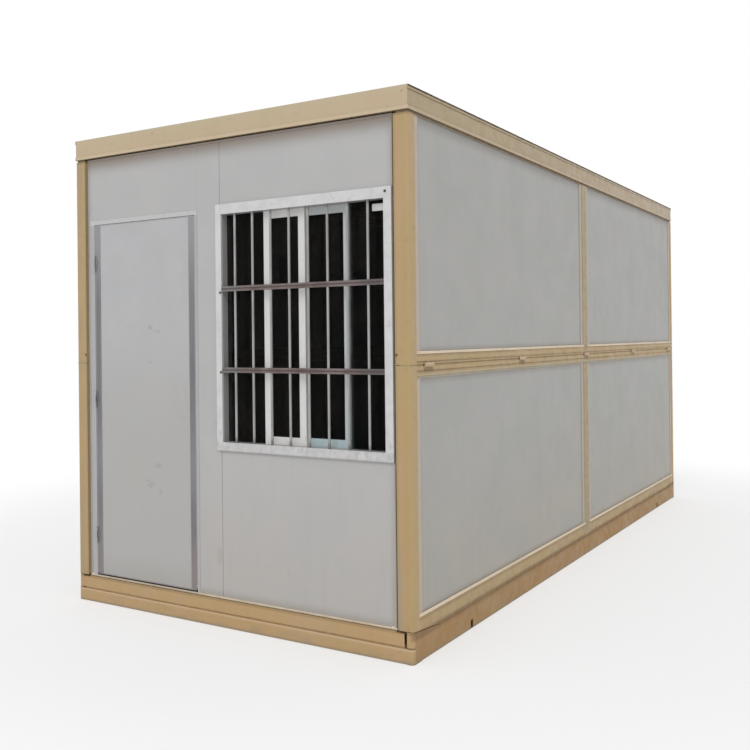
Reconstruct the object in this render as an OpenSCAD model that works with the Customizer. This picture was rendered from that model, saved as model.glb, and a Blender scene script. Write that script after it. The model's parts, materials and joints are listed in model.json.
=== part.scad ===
// Folding container house: a cabin that folds flat for transport.
// Steel base and roof frames, side walls in two halves hinged at mid height,
// sandwich panel end walls that swing up under the roof, a door and a barred sliding window.
// Millimetres, +Z up, origin on the ground under the middle of the cabin.
// The front end wall, with the door and the window, faces -Y.

/* [Overall] */
// Width over the frame
width = 2250; // [2000:10:2700]
// Length over the frame
length = 5060; // [4200:10:6200]
// Height from the ground to the top of the roof frame
height = 2700; // [2400:10:3300]

/* [Base frame] */
// Height of the end beams of the base
base_h = 141; // [126:1:180]
// Height of the side beams of the base
side_base_h = 122; // [112:1:125]
// Depth of the base beams, measured inwards
base_w = 80; // [60:1:100]
// Height of the lower half of the end beam, under its groove
base_foot_h = 72; // [60:1:90]
// Height of the groove along the end beam
base_groove_h = 6; // [4:1:10]
// Width of the corner upright beside the end beam
corner_w = 36; // [30:1:60]
// Gap between the corner upright and the end beam's upper half
corner_gap = 14; // [6:1:20]
// Height of the corner upright
corner_h = 150; // [130:1:160]
// Distance from the end at which the slope behind the corner upright meets the side beam
corner_slope_d = 270; // [200:10:400]
// Set-back of the end beam's upper half and of the corner upright behind the foot
base_step = 2; // [0.5:0.5:3]
// Radius of the outer corners of the base and the posts
corner_r = 18; // [6:1:20]
// Wall of the base and roof sections
beam_wall = 3; // [2:0.5:5]
// Number of floor joists
joist_count = 7; // [4:1:10]
// Height of a floor joist
joist_h = 100; // [80:1:105]
// Flange width of a floor joist
joist_w = 50; // [40:1:60]
// Thickness of the floor boards
floor_t = 18; // [12:1:18]
// Gap between the floor boards and the side walls
floor_gap = 5; // [3:0.5:10]
// Distance of the lashing slots from the ends of the frame
slot_inset = 630; // [400:10:1000]
// Height of the lashing slots' middle above the ground
slot_z = 26; // [24:1:60]
// Width of a lashing slot
slot_w = 24; // [12:1:24]
// Height of a lashing slot
slot_h = 40; // [26:1:44]

/* [Roof frame] */
// Height of the roof beams
roof_h = 116; // [100:1:160]
// Depth of the roof beams, measured inwards
roof_w = 60; // [50:1:80]
// Height of the raised lips along the roof beams
roof_lip_h = 20; // [8:1:24]
// Depth of the web behind the lips
roof_lip_d = 3; // [2:1:5]
// Number of roof purlins
purlin_count = 6; // [3:1:8]
// Height of a purlin
purlin_h = 40; // [30:1:50]
// Flange width of a purlin
purlin_w = 40; // [30:1:50]
// Number of roof panels
roof_panel_count = 5; // [3:1:7]
// Height of the joint ribs on the roof panels
roof_rib_h = 12; // [8:1:14]
// Width of the joint ribs on the roof panels
roof_rib_w = 40; // [30:1:60]

/* [Side walls] */
// Height of the fold line above the ground
fold_z = 1391; // [1200:1:1600]
// Gap between the two halves at the fold line
fold_gap = 2.5; // [2:0.5:6]
// Thickness of the seals below the side walls
seal_t = 4; // [3:0.5:6]
// Distance of the seals behind the frame's faces
seal_inset = 10; // [6:1:20]
// Thickness of the seals between the side walls and the roof
roof_seal_t = 12; // [4:1:16]
// Thickness of the side frames
frame_t = 82; // [78:1:100]
// Width of a corner post, along the side wall
post_w = 60; // [50:1:80]
// Width of the middle post, between its lips
mullion_w = 92; // [60:1:110]
// Height of the bottom rail
bottom_rail_h = 82; // [60:1:110]
// Radius of the bottom rail's lower outer edge
rail_edge_r = 16; // [6:1:24]
// Height of the rail above the fold line
upper_fold_rail_h = 50; // [40:1:60]
// Height of the rail below the fold line
lower_fold_rail_h = 52; // [48:1:70]
// Distance of the groove above the fold line from the rail's edge
upper_groove_z = 13; // [12:1:20]
// Distance of the groove below the fold line from the rail's edge
lower_groove_z = 28; // [16:1:36]
// Height of the grooves in the fold rails
rail_groove_h = 5; // [3:0.5:8]
// Depth of the grooves in the fold rails
rail_groove_d = 3; // [1:0.5:4]
// Height of the top rail, behind the panel
top_rail_h = 45; // [35:1:60]
// Thickness of the sandwich panels
panel_t = 50; // [40:1:60]
// Wall of the side frame sections
frame_wall = 2.5; // [2:0.5:4]
// Height of the horizontal panel stops
stop_h = 12; // [8:1:16]
// Width of the upright panel stops
stop_w = 40; // [12:1:50]
// Thickness of the panel stops
stop_t = 4; // [3:0.5:6]
// Distance of the panel stops behind the frame's outer face
stop_inset = 5; // [3:0.5:8]

/* [Fold hinges] */
// Number of fold hinges on a side
fold_hinge_count = 5; // [3:1:7]
// Distance of the outer fold hinges from the ends of the frame
fold_hinge_inset = 175; // [130:5:300]
// Outside radius of a hinge barrel
barrel_r = 11; // [8:0.5:12]
// Radius of a hinge pin
pin_r = 5; // [4:0.5:6]
// Length of each knuckle of a fold hinge
knuckle_l = 28; // [16:1:34]

/* [End walls] */
// Distance of the end walls behind the corner posts' face
end_recess = 12; // [10:1:20]
// Gap at the sides of an end wall
end_gap = 10; // [5:0.5:14]
// Gap under an end wall
end_gap_z = 7; // [6:0.5:12]
// Gap over an end wall
end_gap_top = 6; // [5:0.5:16]
// Thickness of the sill lip that hides the gap under an end wall
sill_lip_t = 3; // [2:0.5:4]
// Height of the bottom track
bottom_track_h = 11; // [8:1:16]
// Width of the upright edge tracks
edge_track_w = 12; // [8:1:20]
// Wall of the tracks
track_wall = 1.5; // [1:0.5:3]
// Distance of the joint between the two panels from the middle of the wall
joint_x = -28; // [-60:1:60]
// Width of the joint between the two panels
joint_gap = 4; // [2:0.5:6]
// Reach of the tongue in the joint
tongue_w = 6; // [4:1:10]
// Distance of the wall hinges from the middle of the wall
wall_hinge_x = 592; // [400:1:800]
// Depth of the hinge axis inside the end wall's inner face
wall_hinge_out = 15; // [14:0.5:20]
// Drop of the hinge axis below the roof frame
wall_hinge_drop = 16; // [14:0.5:20]
// Length of each knuckle of a wall hinge
wall_knuckle_l = 34; // [24:1:50]
// Height of a wall hinge leaf
wall_leaf_h = 80; // [50:1:100]
// Thickness of a wall hinge leaf
wall_leaf_t = 5; // [4:0.5:8]

/* [Door] */
// Left edge of the door leaf, from the middle of the wall
door_x0 = -974; // [-985:1:-930]
// Width of the door leaf
door_w = 763; // [600:1:775]
// Height of the door leaf
door_h = 2018; // [1800:2:2100]
// Thickness of the door leaf
door_t = 44; // [38:1:50]
// Gap around the door leaf
door_gap = 5; // [5:0.5:8]
// Gap under the door leaf, over the bottom track
door_sill_gap = 13; // [5:0.5:16]
// Visible width of the aluminium edging on the door
door_edging_w = 40; // [20:1:50]
// Thickness of the aluminium edging
door_edging_t = 2; // [1.5:0.5:3]
// Width of the casing beside the hinge
casing_hinge_w = 36; // [24:1:40]
// Width of the casing beside the latch
casing_latch_w = 18; // [8:1:40]
// Height of the casing over the door
casing_head_h = 26; // [14:1:40]
// Number of door hinges
door_hinge_count = 3; // [2:1:5]
// Distance of the outer door hinges from the ends of the leaf
door_hinge_inset = 220; // [120:5:400]
// Outside radius of a door hinge barrel
door_barrel_r = 6; // [5:0.5:7]
// Radius of a door hinge pin
door_pin_r = 3; // [2:0.5:3.5]
// Length of each knuckle of a door hinge
door_knuckle_l = 30; // [20:1:40]
// Width of a door hinge leaf
door_leaf_w = 20; // [14:1:26]

/* [Window] */
// Left edge of the grille frame, from the middle of the wall
window_x0 = -50; // [-56:1:-46]
// Width of the grille frame
window_w = 1080; // [890:1:1080]
// Height of the grille frame's lower edge above the ground
window_z0 = 933; // [800:1:1000]
// Height of the grille frame
window_h = 1302; // [1000:1:1310]
// Width of the grille frame's left side
grille_left_w = 38; // [30:1:55]
// Width of the grille frame's right side
grille_right_w = 44; // [30:1:55]
// Height of the grille frame's bottom side
grille_bottom_h = 46; // [30:1:60]
// Height of the grille frame's top side
grille_top_h = 53; // [30:1:60]
// Thickness of the lining in the window opening
lining_t = 6; // [4:0.5:10]
// Distance that the lining stands into the room, for the inner sash
lining_out = 22; // [19:1:26]
// Number of upright security bars
bar_count = 8; // [4:1:12]
// Distance of the outer security bars from the frame
bar_side_gap = 90; // [40:1:120]
// Radius of a security bar
bar_r = 6.5; // [5:0.5:9]
// Number of cross bars on the grille
crossbar_count = 2; // [1:1:2]
// Spacing of the cross bars, counted from the window's lower edge
crossbar_pitch = 427; // [300:1:450]
// Height of a cross bar
crossbar_h = 27; // [20:1:36]
// Depth of a cross bar
crossbar_d = 14; // [14:0.5:20]
// Width of the two sliding sashes together
sashes_w = 520; // [400:2:700]
// Distance of the sashes' middle from the window's middle
sashes_x = 9; // [-40:1:40]
// Width of the sash rails
sash_rail_w = 40; // [28:1:50]
// Width of the sash stiles
sash_stile_w = 40; // [28:1:50]
// Width of the inner sash's stile that hides behind the outer sash
meeting_stile_w = 30; // [20:1:34]
// Thickness of a sash
sash_t = 18; // [14:1:19]
// Distance of the outer sash behind the grille frame's face
sash_inset = 44; // [20:0.5:46]
// Gap between the tracks of the two sashes
sash_track_gap = 1; // [0.5:0.5:2]
// Thickness of the glass
glass_t = 5; // [4:0.5:6]

/* [Hidden] */
$fn = 32;
slack = 0.3;
weld_gap = 0.05;
pin_slack = 0.05;
side_x = width / 2;
end_y = length / 2;
roof_z = height - roof_h;
lower_z0 = side_base_h + seal_t;
lower_z1 = fold_z - fold_gap / 2;
upper_z0 = fold_z + fold_gap / 2;
upper_z1 = roof_z - roof_seal_t;
inner_x = side_x - frame_t;
bay_y0 = mullion_w / 2;
bay_y1 = end_y - post_w;
panel_d0 = stop_inset + stop_t + slack;

end_x = inner_x - end_gap;
end_z0 = base_h + end_gap_z;
end_z1 = roof_z - end_gap_top;
end_d0 = end_recess;
end_d1 = end_recess + panel_t;
end_panel_z0 = end_z0 + track_wall + slack;
end_panel_z1 = end_z1 - track_wall - slack;
end_panel_x = end_x - track_wall - slack;
wall_pivot_d = end_d1 + wall_hinge_out;
wall_pivot_z = roof_z - wall_hinge_drop;

door_x1 = door_x0 + door_w;
door_z0 = end_z0 + bottom_track_h + door_sill_gap;
door_z1 = door_z0 + door_h;
doorway_x0 = door_x0 - door_gap - casing_hinge_w;
doorway_x1 = door_x1 + door_gap + casing_latch_w;
doorway_z1 = door_z1 + door_gap + casing_head_h;
door_pivot_x = door_x0 - door_gap / 2;
door_face_d = end_d0 - door_edging_t - slack;
door_pivot_d = door_face_d - door_barrel_r - 1;

window_x1 = window_x0 + window_w;
window_z1 = window_z0 + window_h;
light_x0 = window_x0 + grille_left_w;
light_x1 = window_x1 - grille_right_w;
light_z0 = window_z0 + grille_bottom_h;
light_z1 = window_z1 - grille_top_h;
sash_mid_x = (window_x0 + window_x1) / 2 + sashes_x;
sash_x0 = sash_mid_x - sashes_w / 2;
sash_x1 = sash_mid_x + sashes_w / 2;
outer_sash_x1 = sash_mid_x;
inner_sash_x0 = outer_sash_x1 - sash_stile_w;
inner_sash_inset = sash_inset + sash_t + sash_track_gap;

function spread(first, last, count) = [for (i = [0:count - 1]) first + i * (last - first) / (count - 1)];
door_hinge_zs = spread(door_z0 + door_hinge_inset, door_z1 - door_hinge_inset, door_hinge_count);
fold_hinge_ys = spread(-end_y + fold_hinge_inset, end_y - fold_hinge_inset, fold_hinge_count);

// ---- drawing aids -------------------------------------------------------

// A rectangle from the origin with rounded corners
module rounded_rect(w, h, r) {
    translate([r, 0]) square([w - 2 * r, h]);
    translate([0, r]) square([w, h - 2 * r]);
    for (x = [r, w - r], y = [r, h - r]) translate([x, y]) circle(r);
}

// A closed steel section from the origin
module tube_section(w, h, r, wall) {
    difference() {
        rounded_rect(w, h, r);
        translate([wall, wall]) square([w - 2 * wall, h - 2 * wall]);
    }
}

// A channel from the origin, open on its +X side
module channel_section(w, h, wall) {
    difference() {
        square([w, h]);
        translate([wall, wall]) square([w, h - 2 * wall]);
    }
}

// A section (depth inwards from the right face, height) run along Y
module along_side(y0, y1) {
    translate([side_x, y1, 0]) rotate([90, 0, 0]) mirror([1, 0, 0]) linear_extrude(y1 - y0) children();
}

// A section (depth inwards from the front face, height) run along X
module along_front(x0, x1) {
    translate([x0, -end_y, 0]) rotate([90, 0, 90]) linear_extrude(x1 - x0) children();
}

// A section (distance from the middle, depth inwards from the front face) run upwards
module up_front(z0, z1) {
    translate([0, -end_y, z0]) linear_extrude(z1 - z0) children();
}

// A plain slab in the front wall, given by its edges and depths
module front_slab(x0, x1, d0, d1, z0, z1) {
    translate([x0, d0 - end_y, z0]) cube([x1 - x0, d1 - d0, z1 - z0]);
}

module and_left() {
    children();
    mirror([1, 0, 0]) children();
}

module and_rear() {
    children();
    mirror([0, 1, 0]) children();
}

// ---- base frame ----------------------------------------------------------

module base_side_beam() {
    difference() {
        union() {
            along_side(-end_y + base_w, end_y - base_w) tube_section(base_w, side_base_h, 6, beam_wall);
            and_rear() base_corner();
        }
        for (y = [-1, 1]) lashing_slot(y * (end_y - slot_inset));
    }
}

// A rectangle with one rounded corner, at X = w and Y = 0
module rounded_corner(w, d, r = corner_r) {
    difference() {
        square([w, d]);
        translate([w - r, 0]) difference() {
            square(r);
            translate([0, r]) circle(r);
        }
    }
}

// The side view (distance from the end, height) of the space from z0 up to the corner's slope
module under_slope(d0, z0, rise) {
    polygon([[d0, z0], [d0, corner_h + rise], [base_step, corner_h + rise],
             [corner_slope_d, side_base_h + rise], [corner_slope_d, z0]]);
}

// The end of the foot and the corner upright, whose top slopes down to the side beam
module base_corner() {
    corner_d = base_w + beam_wall;
    translate([side_x - corner_w, -end_y, 0]) {
        linear_extrude(base_foot_h) rounded_corner(corner_w, corner_d);
        translate([0, base_step, 0]) linear_extrude(side_base_h) rounded_corner(corner_w, corner_d - base_step);
        intersection() {
            rotate([90, 0, 90]) linear_extrude(corner_w) under_slope(0, side_base_h - beam_wall, 0);
            translate([0, base_step, 0]) linear_extrude(corner_h) rounded_corner(corner_w, corner_slope_d);
        }
    }
}

module lashing_slot(y) {
    translate([side_x + 1, y, slot_z - slot_h / 2]) rotate([0, -90, 0]) linear_extrude(base_w / 2) {
        translate([slot_w / 2, 0]) circle(slot_w / 2);
        translate([slot_h - slot_w / 2, 0]) circle(slot_w / 2);
        translate([slot_w / 2, -slot_w / 2]) square([slot_h - slot_w, slot_w]);
    }
}

module base_side_beams() {
    color("tan") and_left() base_side_beam();
}

// Two stacked closed sections with a groove between them; the upper one stops short of the corners
// and carries the sill lip
module base_end_beam() {
    groove_d = 14;
    foot_x = side_x - corner_w - weld_gap;
    upper_x = side_x - corner_w - corner_gap;
    upper_z = base_foot_h + base_groove_h;
    along_front(-foot_x, foot_x) tube_section(base_w, base_foot_h, 5, beam_wall);
    along_front(-upper_x, upper_x) {
        translate([groove_d, base_foot_h - 1]) square([base_w - groove_d, base_groove_h + 2]);
        translate([base_step, upper_z]) tube_section(base_w - base_step, base_h - upper_z, 4, beam_wall);
    }
    along_front(-end_x, end_x) translate([base_step, base_h - 5]) square([sill_lip_t, end_gap_z + 5]);
}

module base_end_beams() {
    color("tan") and_rear() base_end_beam();
}

module floor_joists() {
    joist_y = end_y - base_w - joist_w;
    joist_x = side_x - base_w;
    color("dimgray") for (y = spread(-joist_y, joist_y, joist_count))
        translate([-joist_x, y - joist_w / 2, side_base_h - joist_h])
            rotate([90, 0, 90]) linear_extrude(2 * joist_x) channel_section(joist_w, joist_h, beam_wall);
}

module floor_boards() {
    color("peru") translate([floor_gap - inner_x, base_w - end_y, side_base_h])
        cube([2 * (inner_x - floor_gap), length - 2 * base_w, floor_t]);
}

// A rubber strip along a side, set back from the face and from the ends
module side_seal(z, t, end_inset) {
    along_side(-end_y + end_inset, end_y - end_inset)
        translate([seal_inset, z]) square([frame_t - 2 * seal_inset, t]);
}

module base_seals() {
    color("dimgray") and_left() side_seal(side_base_h, seal_t, corner_slope_d + seal_t);
}

module roof_seals() {
    color("dimgray") and_left() side_seal(upper_z1, roof_seal_t, seal_inset);
}

// ---- side walls ----------------------------------------------------------

// A corner post with the stop that the panel bears on; its outer edge is rounded
module corner_post(z0, z1, stop_z0, stop_z1) {
    translate([0, -end_y, 0]) {
        translate([inner_x, 0, z0]) linear_extrude(z1 - z0) difference() {
            rounded_corner(frame_t, post_w);
            translate([frame_wall, frame_wall])
                rounded_corner(frame_t - 2 * frame_wall, post_w - 2 * frame_wall, corner_r - frame_wall);
        }
        translate([side_x - stop_inset - stop_t, post_w - 1, stop_z0])
            cube([stop_t, stop_w + 1, stop_z1 - stop_z0]);
    }
}

// The middle post, with a stop on each side that may reach higher
module middle_post(z0, z1, stop_z1) {
    translate([inner_x, -mullion_w / 2, z0])
        linear_extrude(z1 - z0) tube_section(frame_t, mullion_w, 4, frame_wall);
    for (y = [mullion_w / 2 - 1, -mullion_w / 2 - stop_w])
        translate([side_x - stop_inset - stop_t, y, z0]) cube([stop_t, stop_w + 1, stop_z1 - z0]);
}

// The middle post's front in the upper half, where it passes before the top rail
module middle_post_top(z0, z1) {
    front_t = panel_d0 + panel_t;
    translate([side_x - front_t, -mullion_w / 2, z0])
        linear_extrude(z1 - z0) tube_section(front_t, mullion_w, 4, frame_wall);
}

// Knuckles of the fold hinges that belong to one half, each with its web into the rail
module fold_knuckles(offsets, up) {
    for (y = fold_hinge_ys, k = offsets)
        translate([side_x, y + k * (knuckle_l + 1), fold_z]) {
            rotate([90, 0, 0]) cylinder(r = barrel_r, h = knuckle_l, center = true);
            translate([-barrel_r - 6, -knuckle_l / 2, up ? 0 : -barrel_r - 6])
                cube([barrel_r + 6, knuckle_l, barrel_r + 6]);
        }
}

// Room in a rail for the whole hinge barrel
module fold_pockets() {
    pocket_l = 3 * knuckle_l + 4;
    for (y = fold_hinge_ys)
        translate([side_x - barrel_r - 2, y - pocket_l / 2, fold_z - barrel_r - 2])
            cube([2 * barrel_r, pocket_l, 2 * barrel_r + 4]);
}

module fold_bores() {
    for (y = fold_hinge_ys)
        translate([side_x, y, fold_z]) rotate([90, 0, 0])
            cylinder(r = pin_r + pin_slack, h = 4 * knuckle_l, center = true);
}

// The section of a fold rail, with a groove along its outer face
module grooved_section(h, groove_z) {
    difference() {
        tube_section(frame_t, h, 4, frame_wall + rail_groove_d);
        translate([-1, groove_z - rail_groove_h / 2]) square([rail_groove_d + 1, rail_groove_h]);
    }
}

// A rail of the fold line with its knuckles; offsets are counted in knuckles from the hinge's middle
module fold_rail(offsets, up) {
    difference() {
        union() {
            difference() {
                along_side(-bay_y1 + weld_gap, bay_y1 - weld_gap) children();
                fold_pockets();
            }
            fold_knuckles(offsets, up);
        }
        fold_bores();
    }
}

// The section of the bottom rail, with its lower outer edge rounded
module bottom_rail_section() {
    difference() {
        translate([frame_t, 0]) mirror([1, 0]) rounded_corner(frame_t, bottom_rail_h, rail_edge_r);
        translate([frame_t - frame_wall, frame_wall]) mirror([1, 0])
            rounded_corner(frame_t - 2 * frame_wall, bottom_rail_h - 2 * frame_wall, rail_edge_r - frame_wall);
    }
}

// The posts and the bottom rail are cut to clear the slopes of the base
module right_lower_frame_parts() {
    stop_z0 = lower_z0 + bottom_rail_h;
    stop_z1 = lower_z1 - lower_fold_rail_h;
    difference() {
        union() {
            and_rear() corner_post(lower_z0, lower_z1, stop_z0 + stop_h + slack, stop_z1 - stop_h - slack);
            along_side(-bay_y1 + weld_gap, bay_y1 - weld_gap) {
                translate([0, lower_z0]) bottom_rail_section();
                translate([stop_inset, stop_z0 - 1]) square([stop_t, stop_h + 1]);
            }
        }
        and_rear() translate([inner_x - 1, -end_y, 0])
            rotate([90, 0, 90]) linear_extrude(frame_t + 2) under_slope(-1, lower_z0 - 1, seal_t);
    }
    fold_rail([-1, 1], false) {
        translate([0, stop_z1]) grooved_section(lower_fold_rail_h, lower_fold_rail_h - lower_groove_z);
        translate([stop_inset, stop_z1 - stop_h]) square([stop_t, stop_h + 1]);
    }
    middle_post(stop_z0 + stop_h + slack, stop_z1 - stop_h - slack, stop_z1 - stop_h - slack);
}

module right_upper_frame_parts() {
    stop_z0 = upper_z0 + upper_fold_rail_h;
    stop_z1 = upper_z1 - frame_wall - slack;
    rail_z0 = upper_z1 - top_rail_h - slack;
    and_rear() corner_post(upper_z0, upper_z1, stop_z0 + stop_h + slack, stop_z1);
    fold_rail([0], true) {
        translate([0, upper_z0]) grooved_section(upper_fold_rail_h, upper_groove_z);
        translate([stop_inset, stop_z0 - 1]) square([stop_t, stop_h + 1]);
    }
    along_side(-bay_y1 + weld_gap, bay_y1 - weld_gap) {
        translate([panel_d0 + panel_t + slack, upper_z1 - top_rail_h])
            tube_section(frame_t - panel_d0 - panel_t - slack, top_rail_h, 3, frame_wall);
        translate([stop_inset, upper_z1 - frame_wall]) square([frame_t - stop_inset, frame_wall]);
    }
    middle_post(stop_z0 + stop_h + slack, rail_z0, stop_z1);
    middle_post_top(rail_z0 - 1, stop_z1);
}

// The two panels of a half, one in each bay
module side_panels(z0, z1) {
    and_rear() translate([side_x - panel_d0 - panel_t, bay_y0 + slack, z0 + slack])
        cube([panel_t, bay_y1 - bay_y0 - 2 * slack, z1 - z0 - 2 * slack]);
}

module lower_panel_pair() {
    side_panels(lower_z0 + bottom_rail_h, lower_z1 - lower_fold_rail_h);
}

module upper_panel_pair() {
    side_panels(upper_z0 + upper_fold_rail_h, upper_z1 - frame_wall);
}

module fold_pins() {
    for (y = fold_hinge_ys)
        translate([side_x, y, fold_z]) rotate([90, 0, 0])
            cylinder(r = pin_r, h = 3 * knuckle_l + 2, center = true);
}

module right_lower_frame() { color("burlywood") right_lower_frame_parts(); }
module right_upper_frame() { color("burlywood") right_upper_frame_parts(); }
module right_lower_panels() { color("gainsboro") lower_panel_pair(); }
module right_upper_panels() { color("gainsboro") upper_panel_pair(); }
module right_fold_pins() { color("silver") fold_pins(); }
module left_lower_frame() { color("burlywood") mirror([1, 0, 0]) right_lower_frame_parts(); }
module left_upper_frame() { color("burlywood") mirror([1, 0, 0]) right_upper_frame_parts(); }
module left_lower_panels() { color("gainsboro") mirror([1, 0, 0]) lower_panel_pair(); }
module left_upper_panels() { color("gainsboro") mirror([1, 0, 0]) upper_panel_pair(); }
module left_fold_pins() { color("silver") mirror([1, 0, 0]) fold_pins(); }

// ---- roof ----------------------------------------------------------------

// The section of a roof beam: its web lies behind a lip at the bottom and, on a side, one at the top
module roof_beam_section(top_lip_h) {
    translate([0, roof_z]) difference() {
        tube_section(roof_w, roof_h, 3, beam_wall + roof_lip_d);
        translate([-1, roof_lip_h]) square([roof_lip_d + 1, roof_h - roof_lip_h - top_lip_h]);
    }
}

// The side beam between mitres cut at 45 degrees
module roof_side_beams() {
    color("wheat") and_left() intersection() {
        along_side(-end_y, end_y) roof_beam_section(roof_lip_h);
        translate([0, 0, roof_z - 1]) linear_extrude(roof_h + 2) polygon([
            [side_x + 1, -end_y - 1], [side_x + 1, end_y + 1],
            [side_x - roof_w - 1, end_y - roof_w - 1], [side_x - roof_w - 1, -end_y + roof_w + 1]
        ]);
    }
}

module roof_end_beams() {
    color("wheat") and_rear() intersection() {
        along_front(-side_x, side_x) roof_beam_section(-1);
        translate([0, 0, roof_z - 1]) linear_extrude(roof_h + 2) polygon([
            [-side_x - 1, -end_y - 1], [side_x + 1, -end_y - 1],
            [side_x - roof_w - 1, -end_y + roof_w + 1], [-side_x + roof_w + 1, -end_y + roof_w + 1]
        ]);
    }
}

purlin_z = roof_z + 5;
roof_panel_z = purlin_z + purlin_h;

module roof_purlins() {
    purlin_x = side_x - roof_w;
    purlin_y = end_y - roof_w - 300;
    color("wheat") for (y = spread(-purlin_y, purlin_y, purlin_count))
        translate([-purlin_x, y - purlin_w / 2, purlin_z])
            rotate([90, 0, 90]) linear_extrude(2 * purlin_x) channel_section(purlin_w, purlin_h, beam_wall);
}

// Sandwich panels across the roof, with a raised rib over each joint
module roof_panels() {
    span_x = side_x - roof_w - slack;
    span_y = end_y - roof_w - slack;
    pitch = 2 * span_y / roof_panel_count;
    top = roof_panel_z + panel_t;
    color("gainsboro") for (i = [0:roof_panel_count - 1]) {
        y0 = -span_y + i * pitch;
        y1 = y0 + pitch - (i < roof_panel_count - 1 ? slack : 0);
        translate([-span_x, y0, roof_panel_z]) cube([2 * span_x, y1 - y0, panel_t]);
        if (i > 0)
            translate([-span_x, y0, top - 1]) cube([2 * span_x, roof_rib_w, roof_rib_h + 1]);
    }
}

// ---- hinges of the end walls ------------------------------------------------

// Fixed half of a wall hinge: a bracket bolted inside the roof beam, one knuckle and the pin
module hinge_bracket(x) {
    translate([x, -end_y, 0]) {
        translate([-wall_knuckle_l / 2, wall_pivot_d - 8, wall_pivot_z])
            cube([wall_knuckle_l, 8, roof_z + 5 - wall_pivot_z]);
        translate([-wall_knuckle_l * 1.2, roof_w, roof_z + 4])
            cube([wall_knuckle_l * 2.4, wall_pivot_d - roof_w, roof_panel_z - roof_z - 6]);
        translate([0, wall_pivot_d, wall_pivot_z]) rotate([0, 90, 0]) {
            cylinder(r = barrel_r, h = wall_knuckle_l, center = true);
            cylinder(r = pin_r, h = 3 * wall_knuckle_l + 2, center = true);
        }
    }
}

module front_hinge_brackets() {
    color("tan") for (x = [-1, 1]) hinge_bracket(x * wall_hinge_x);
}

module rear_hinge_brackets() {
    color("tan") mirror([0, 1, 0]) for (x = [-1, 1]) hinge_bracket(x * wall_hinge_x);
}

// Moving half of a wall hinge: a leaf on the panel's inner face and two knuckles
module hinge_leaf(x) {
    leaf_w = 3 * wall_knuckle_l + 2;
    leaf_top = wall_pivot_z - barrel_r - 2;
    translate([x, -end_y, 0]) difference() {
        union() {
            translate([-leaf_w / 2, end_d1 + slack, leaf_top - wall_leaf_h])
                cube([leaf_w, wall_leaf_t, wall_leaf_h]);
            for (k = [-1, 1]) translate([k * (wall_knuckle_l + 1), 0, 0]) {
                translate([-wall_knuckle_l / 2, end_d1 + slack, leaf_top - wall_leaf_t])
                    cube([wall_knuckle_l, wall_hinge_out - slack, wall_leaf_t]);
                translate([-wall_knuckle_l / 2, wall_pivot_d - 6, leaf_top - wall_leaf_t])
                    cube([wall_knuckle_l, 6, wall_pivot_z - leaf_top + wall_leaf_t]);
                translate([0, wall_pivot_d, wall_pivot_z]) rotate([0, 90, 0])
                    cylinder(r = barrel_r, h = wall_knuckle_l, center = true);
            }
        }
        translate([0, wall_pivot_d, wall_pivot_z]) rotate([0, 90, 0])
            cylinder(r = pin_r + pin_slack, h = 4 * wall_knuckle_l, center = true);
    }
}

module wall_hinge_leaves() {
    for (x = [-1, 1]) hinge_leaf(x * wall_hinge_x);
}

module front_wall_hinge_leaves() { color("tan") wall_hinge_leaves(); }
module rear_wall_hinge_leaves() { color("tan") mirror([0, 1, 0]) wall_hinge_leaves(); }

// ---- end walls -------------------------------------------------------------

// A track that wraps an edge of the wall: its flanges stand proud of the panel
module bottom_track() {
    along_front(-end_x, end_x) translate([end_d0 - track_wall - slack, end_z0])
        difference() {
            square([panel_t + 2 * (track_wall + slack), bottom_track_h]);
            translate([track_wall, track_wall]) square([panel_t + 2 * slack, bottom_track_h]);
        }
}

module edge_track(h0, h1) {
    up_front(h0, h1) translate([end_x - edge_track_w, end_d0 - track_wall - slack]) difference() {
        square([edge_track_w, panel_t + 2 * (track_wall + slack)]);
        translate([-track_wall, track_wall]) square([edge_track_w, panel_t + 2 * slack]);
    }
}

module top_track() {
    along_front(-end_x + edge_track_w + slack, end_x - edge_track_w - slack)
        translate([end_d0 - track_wall - slack, end_z1 - edge_track_w]) difference() {
            square([panel_t + 2 * (track_wall + slack), edge_track_w]);
            translate([track_wall, -track_wall]) square([panel_t + 2 * slack, edge_track_w]);
        }
}

module edge_tracks() {
    and_left() edge_track(end_z0 + bottom_track_h + slack, end_z1);
    top_track();
}

module window_hole() {
    front_slab(light_x0 - lining_t - slack, light_x1 + lining_t + slack, 0, 2 * panel_t,
               light_z0 - lining_t - slack, light_z1 + lining_t + slack);
}

module front_wall_outer_panel() {
    color("gainsboro") front_slab(-end_panel_x, doorway_x0 - slack, end_d0, end_d1, end_panel_z0, end_panel_z1);
}

module front_wall_over_door_panel() {
    color("gainsboro")
        front_slab(doorway_x0, doorway_x1 - slack, end_d0, end_d1, doorway_z1 + slack, end_panel_z1);
}

// The panel between the door and the joint, with a tongue into the window panel
module front_wall_middle_panel() {
    color("gainsboro") difference() {
        union() {
            front_slab(doorway_x1, joint_x - joint_gap / 2, end_d0, end_d1, end_panel_z0, end_panel_z1);
            front_slab(joint_x - joint_gap / 2 - 1, joint_x + tongue_w, end_d0 + 15, end_d1 - 15,
                       end_panel_z0, end_panel_z1);
        }
        window_hole();
    }
}

module front_wall_window_panel() {
    color("gainsboro") difference() {
        front_slab(joint_x + joint_gap / 2, end_panel_x, end_d0, end_d1, end_panel_z0, end_panel_z1);
        front_slab(joint_x, joint_x + tongue_w + slack, end_d0 + 15 - slack, end_d1 - 15 + slack,
                   end_z0, end_z1);
        window_hole();
    }
}

module front_wall_bottom_track() { color("linen") bottom_track(); }

// The right track is notched for the grille frame
module front_wall_edge_tracks() {
    color("silver") difference() {
        edge_tracks();
        front_slab(window_x0 - 1, window_x1 + 1, -1, end_d0, window_z0 - 1, window_z1 + 1);
    }
}

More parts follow.
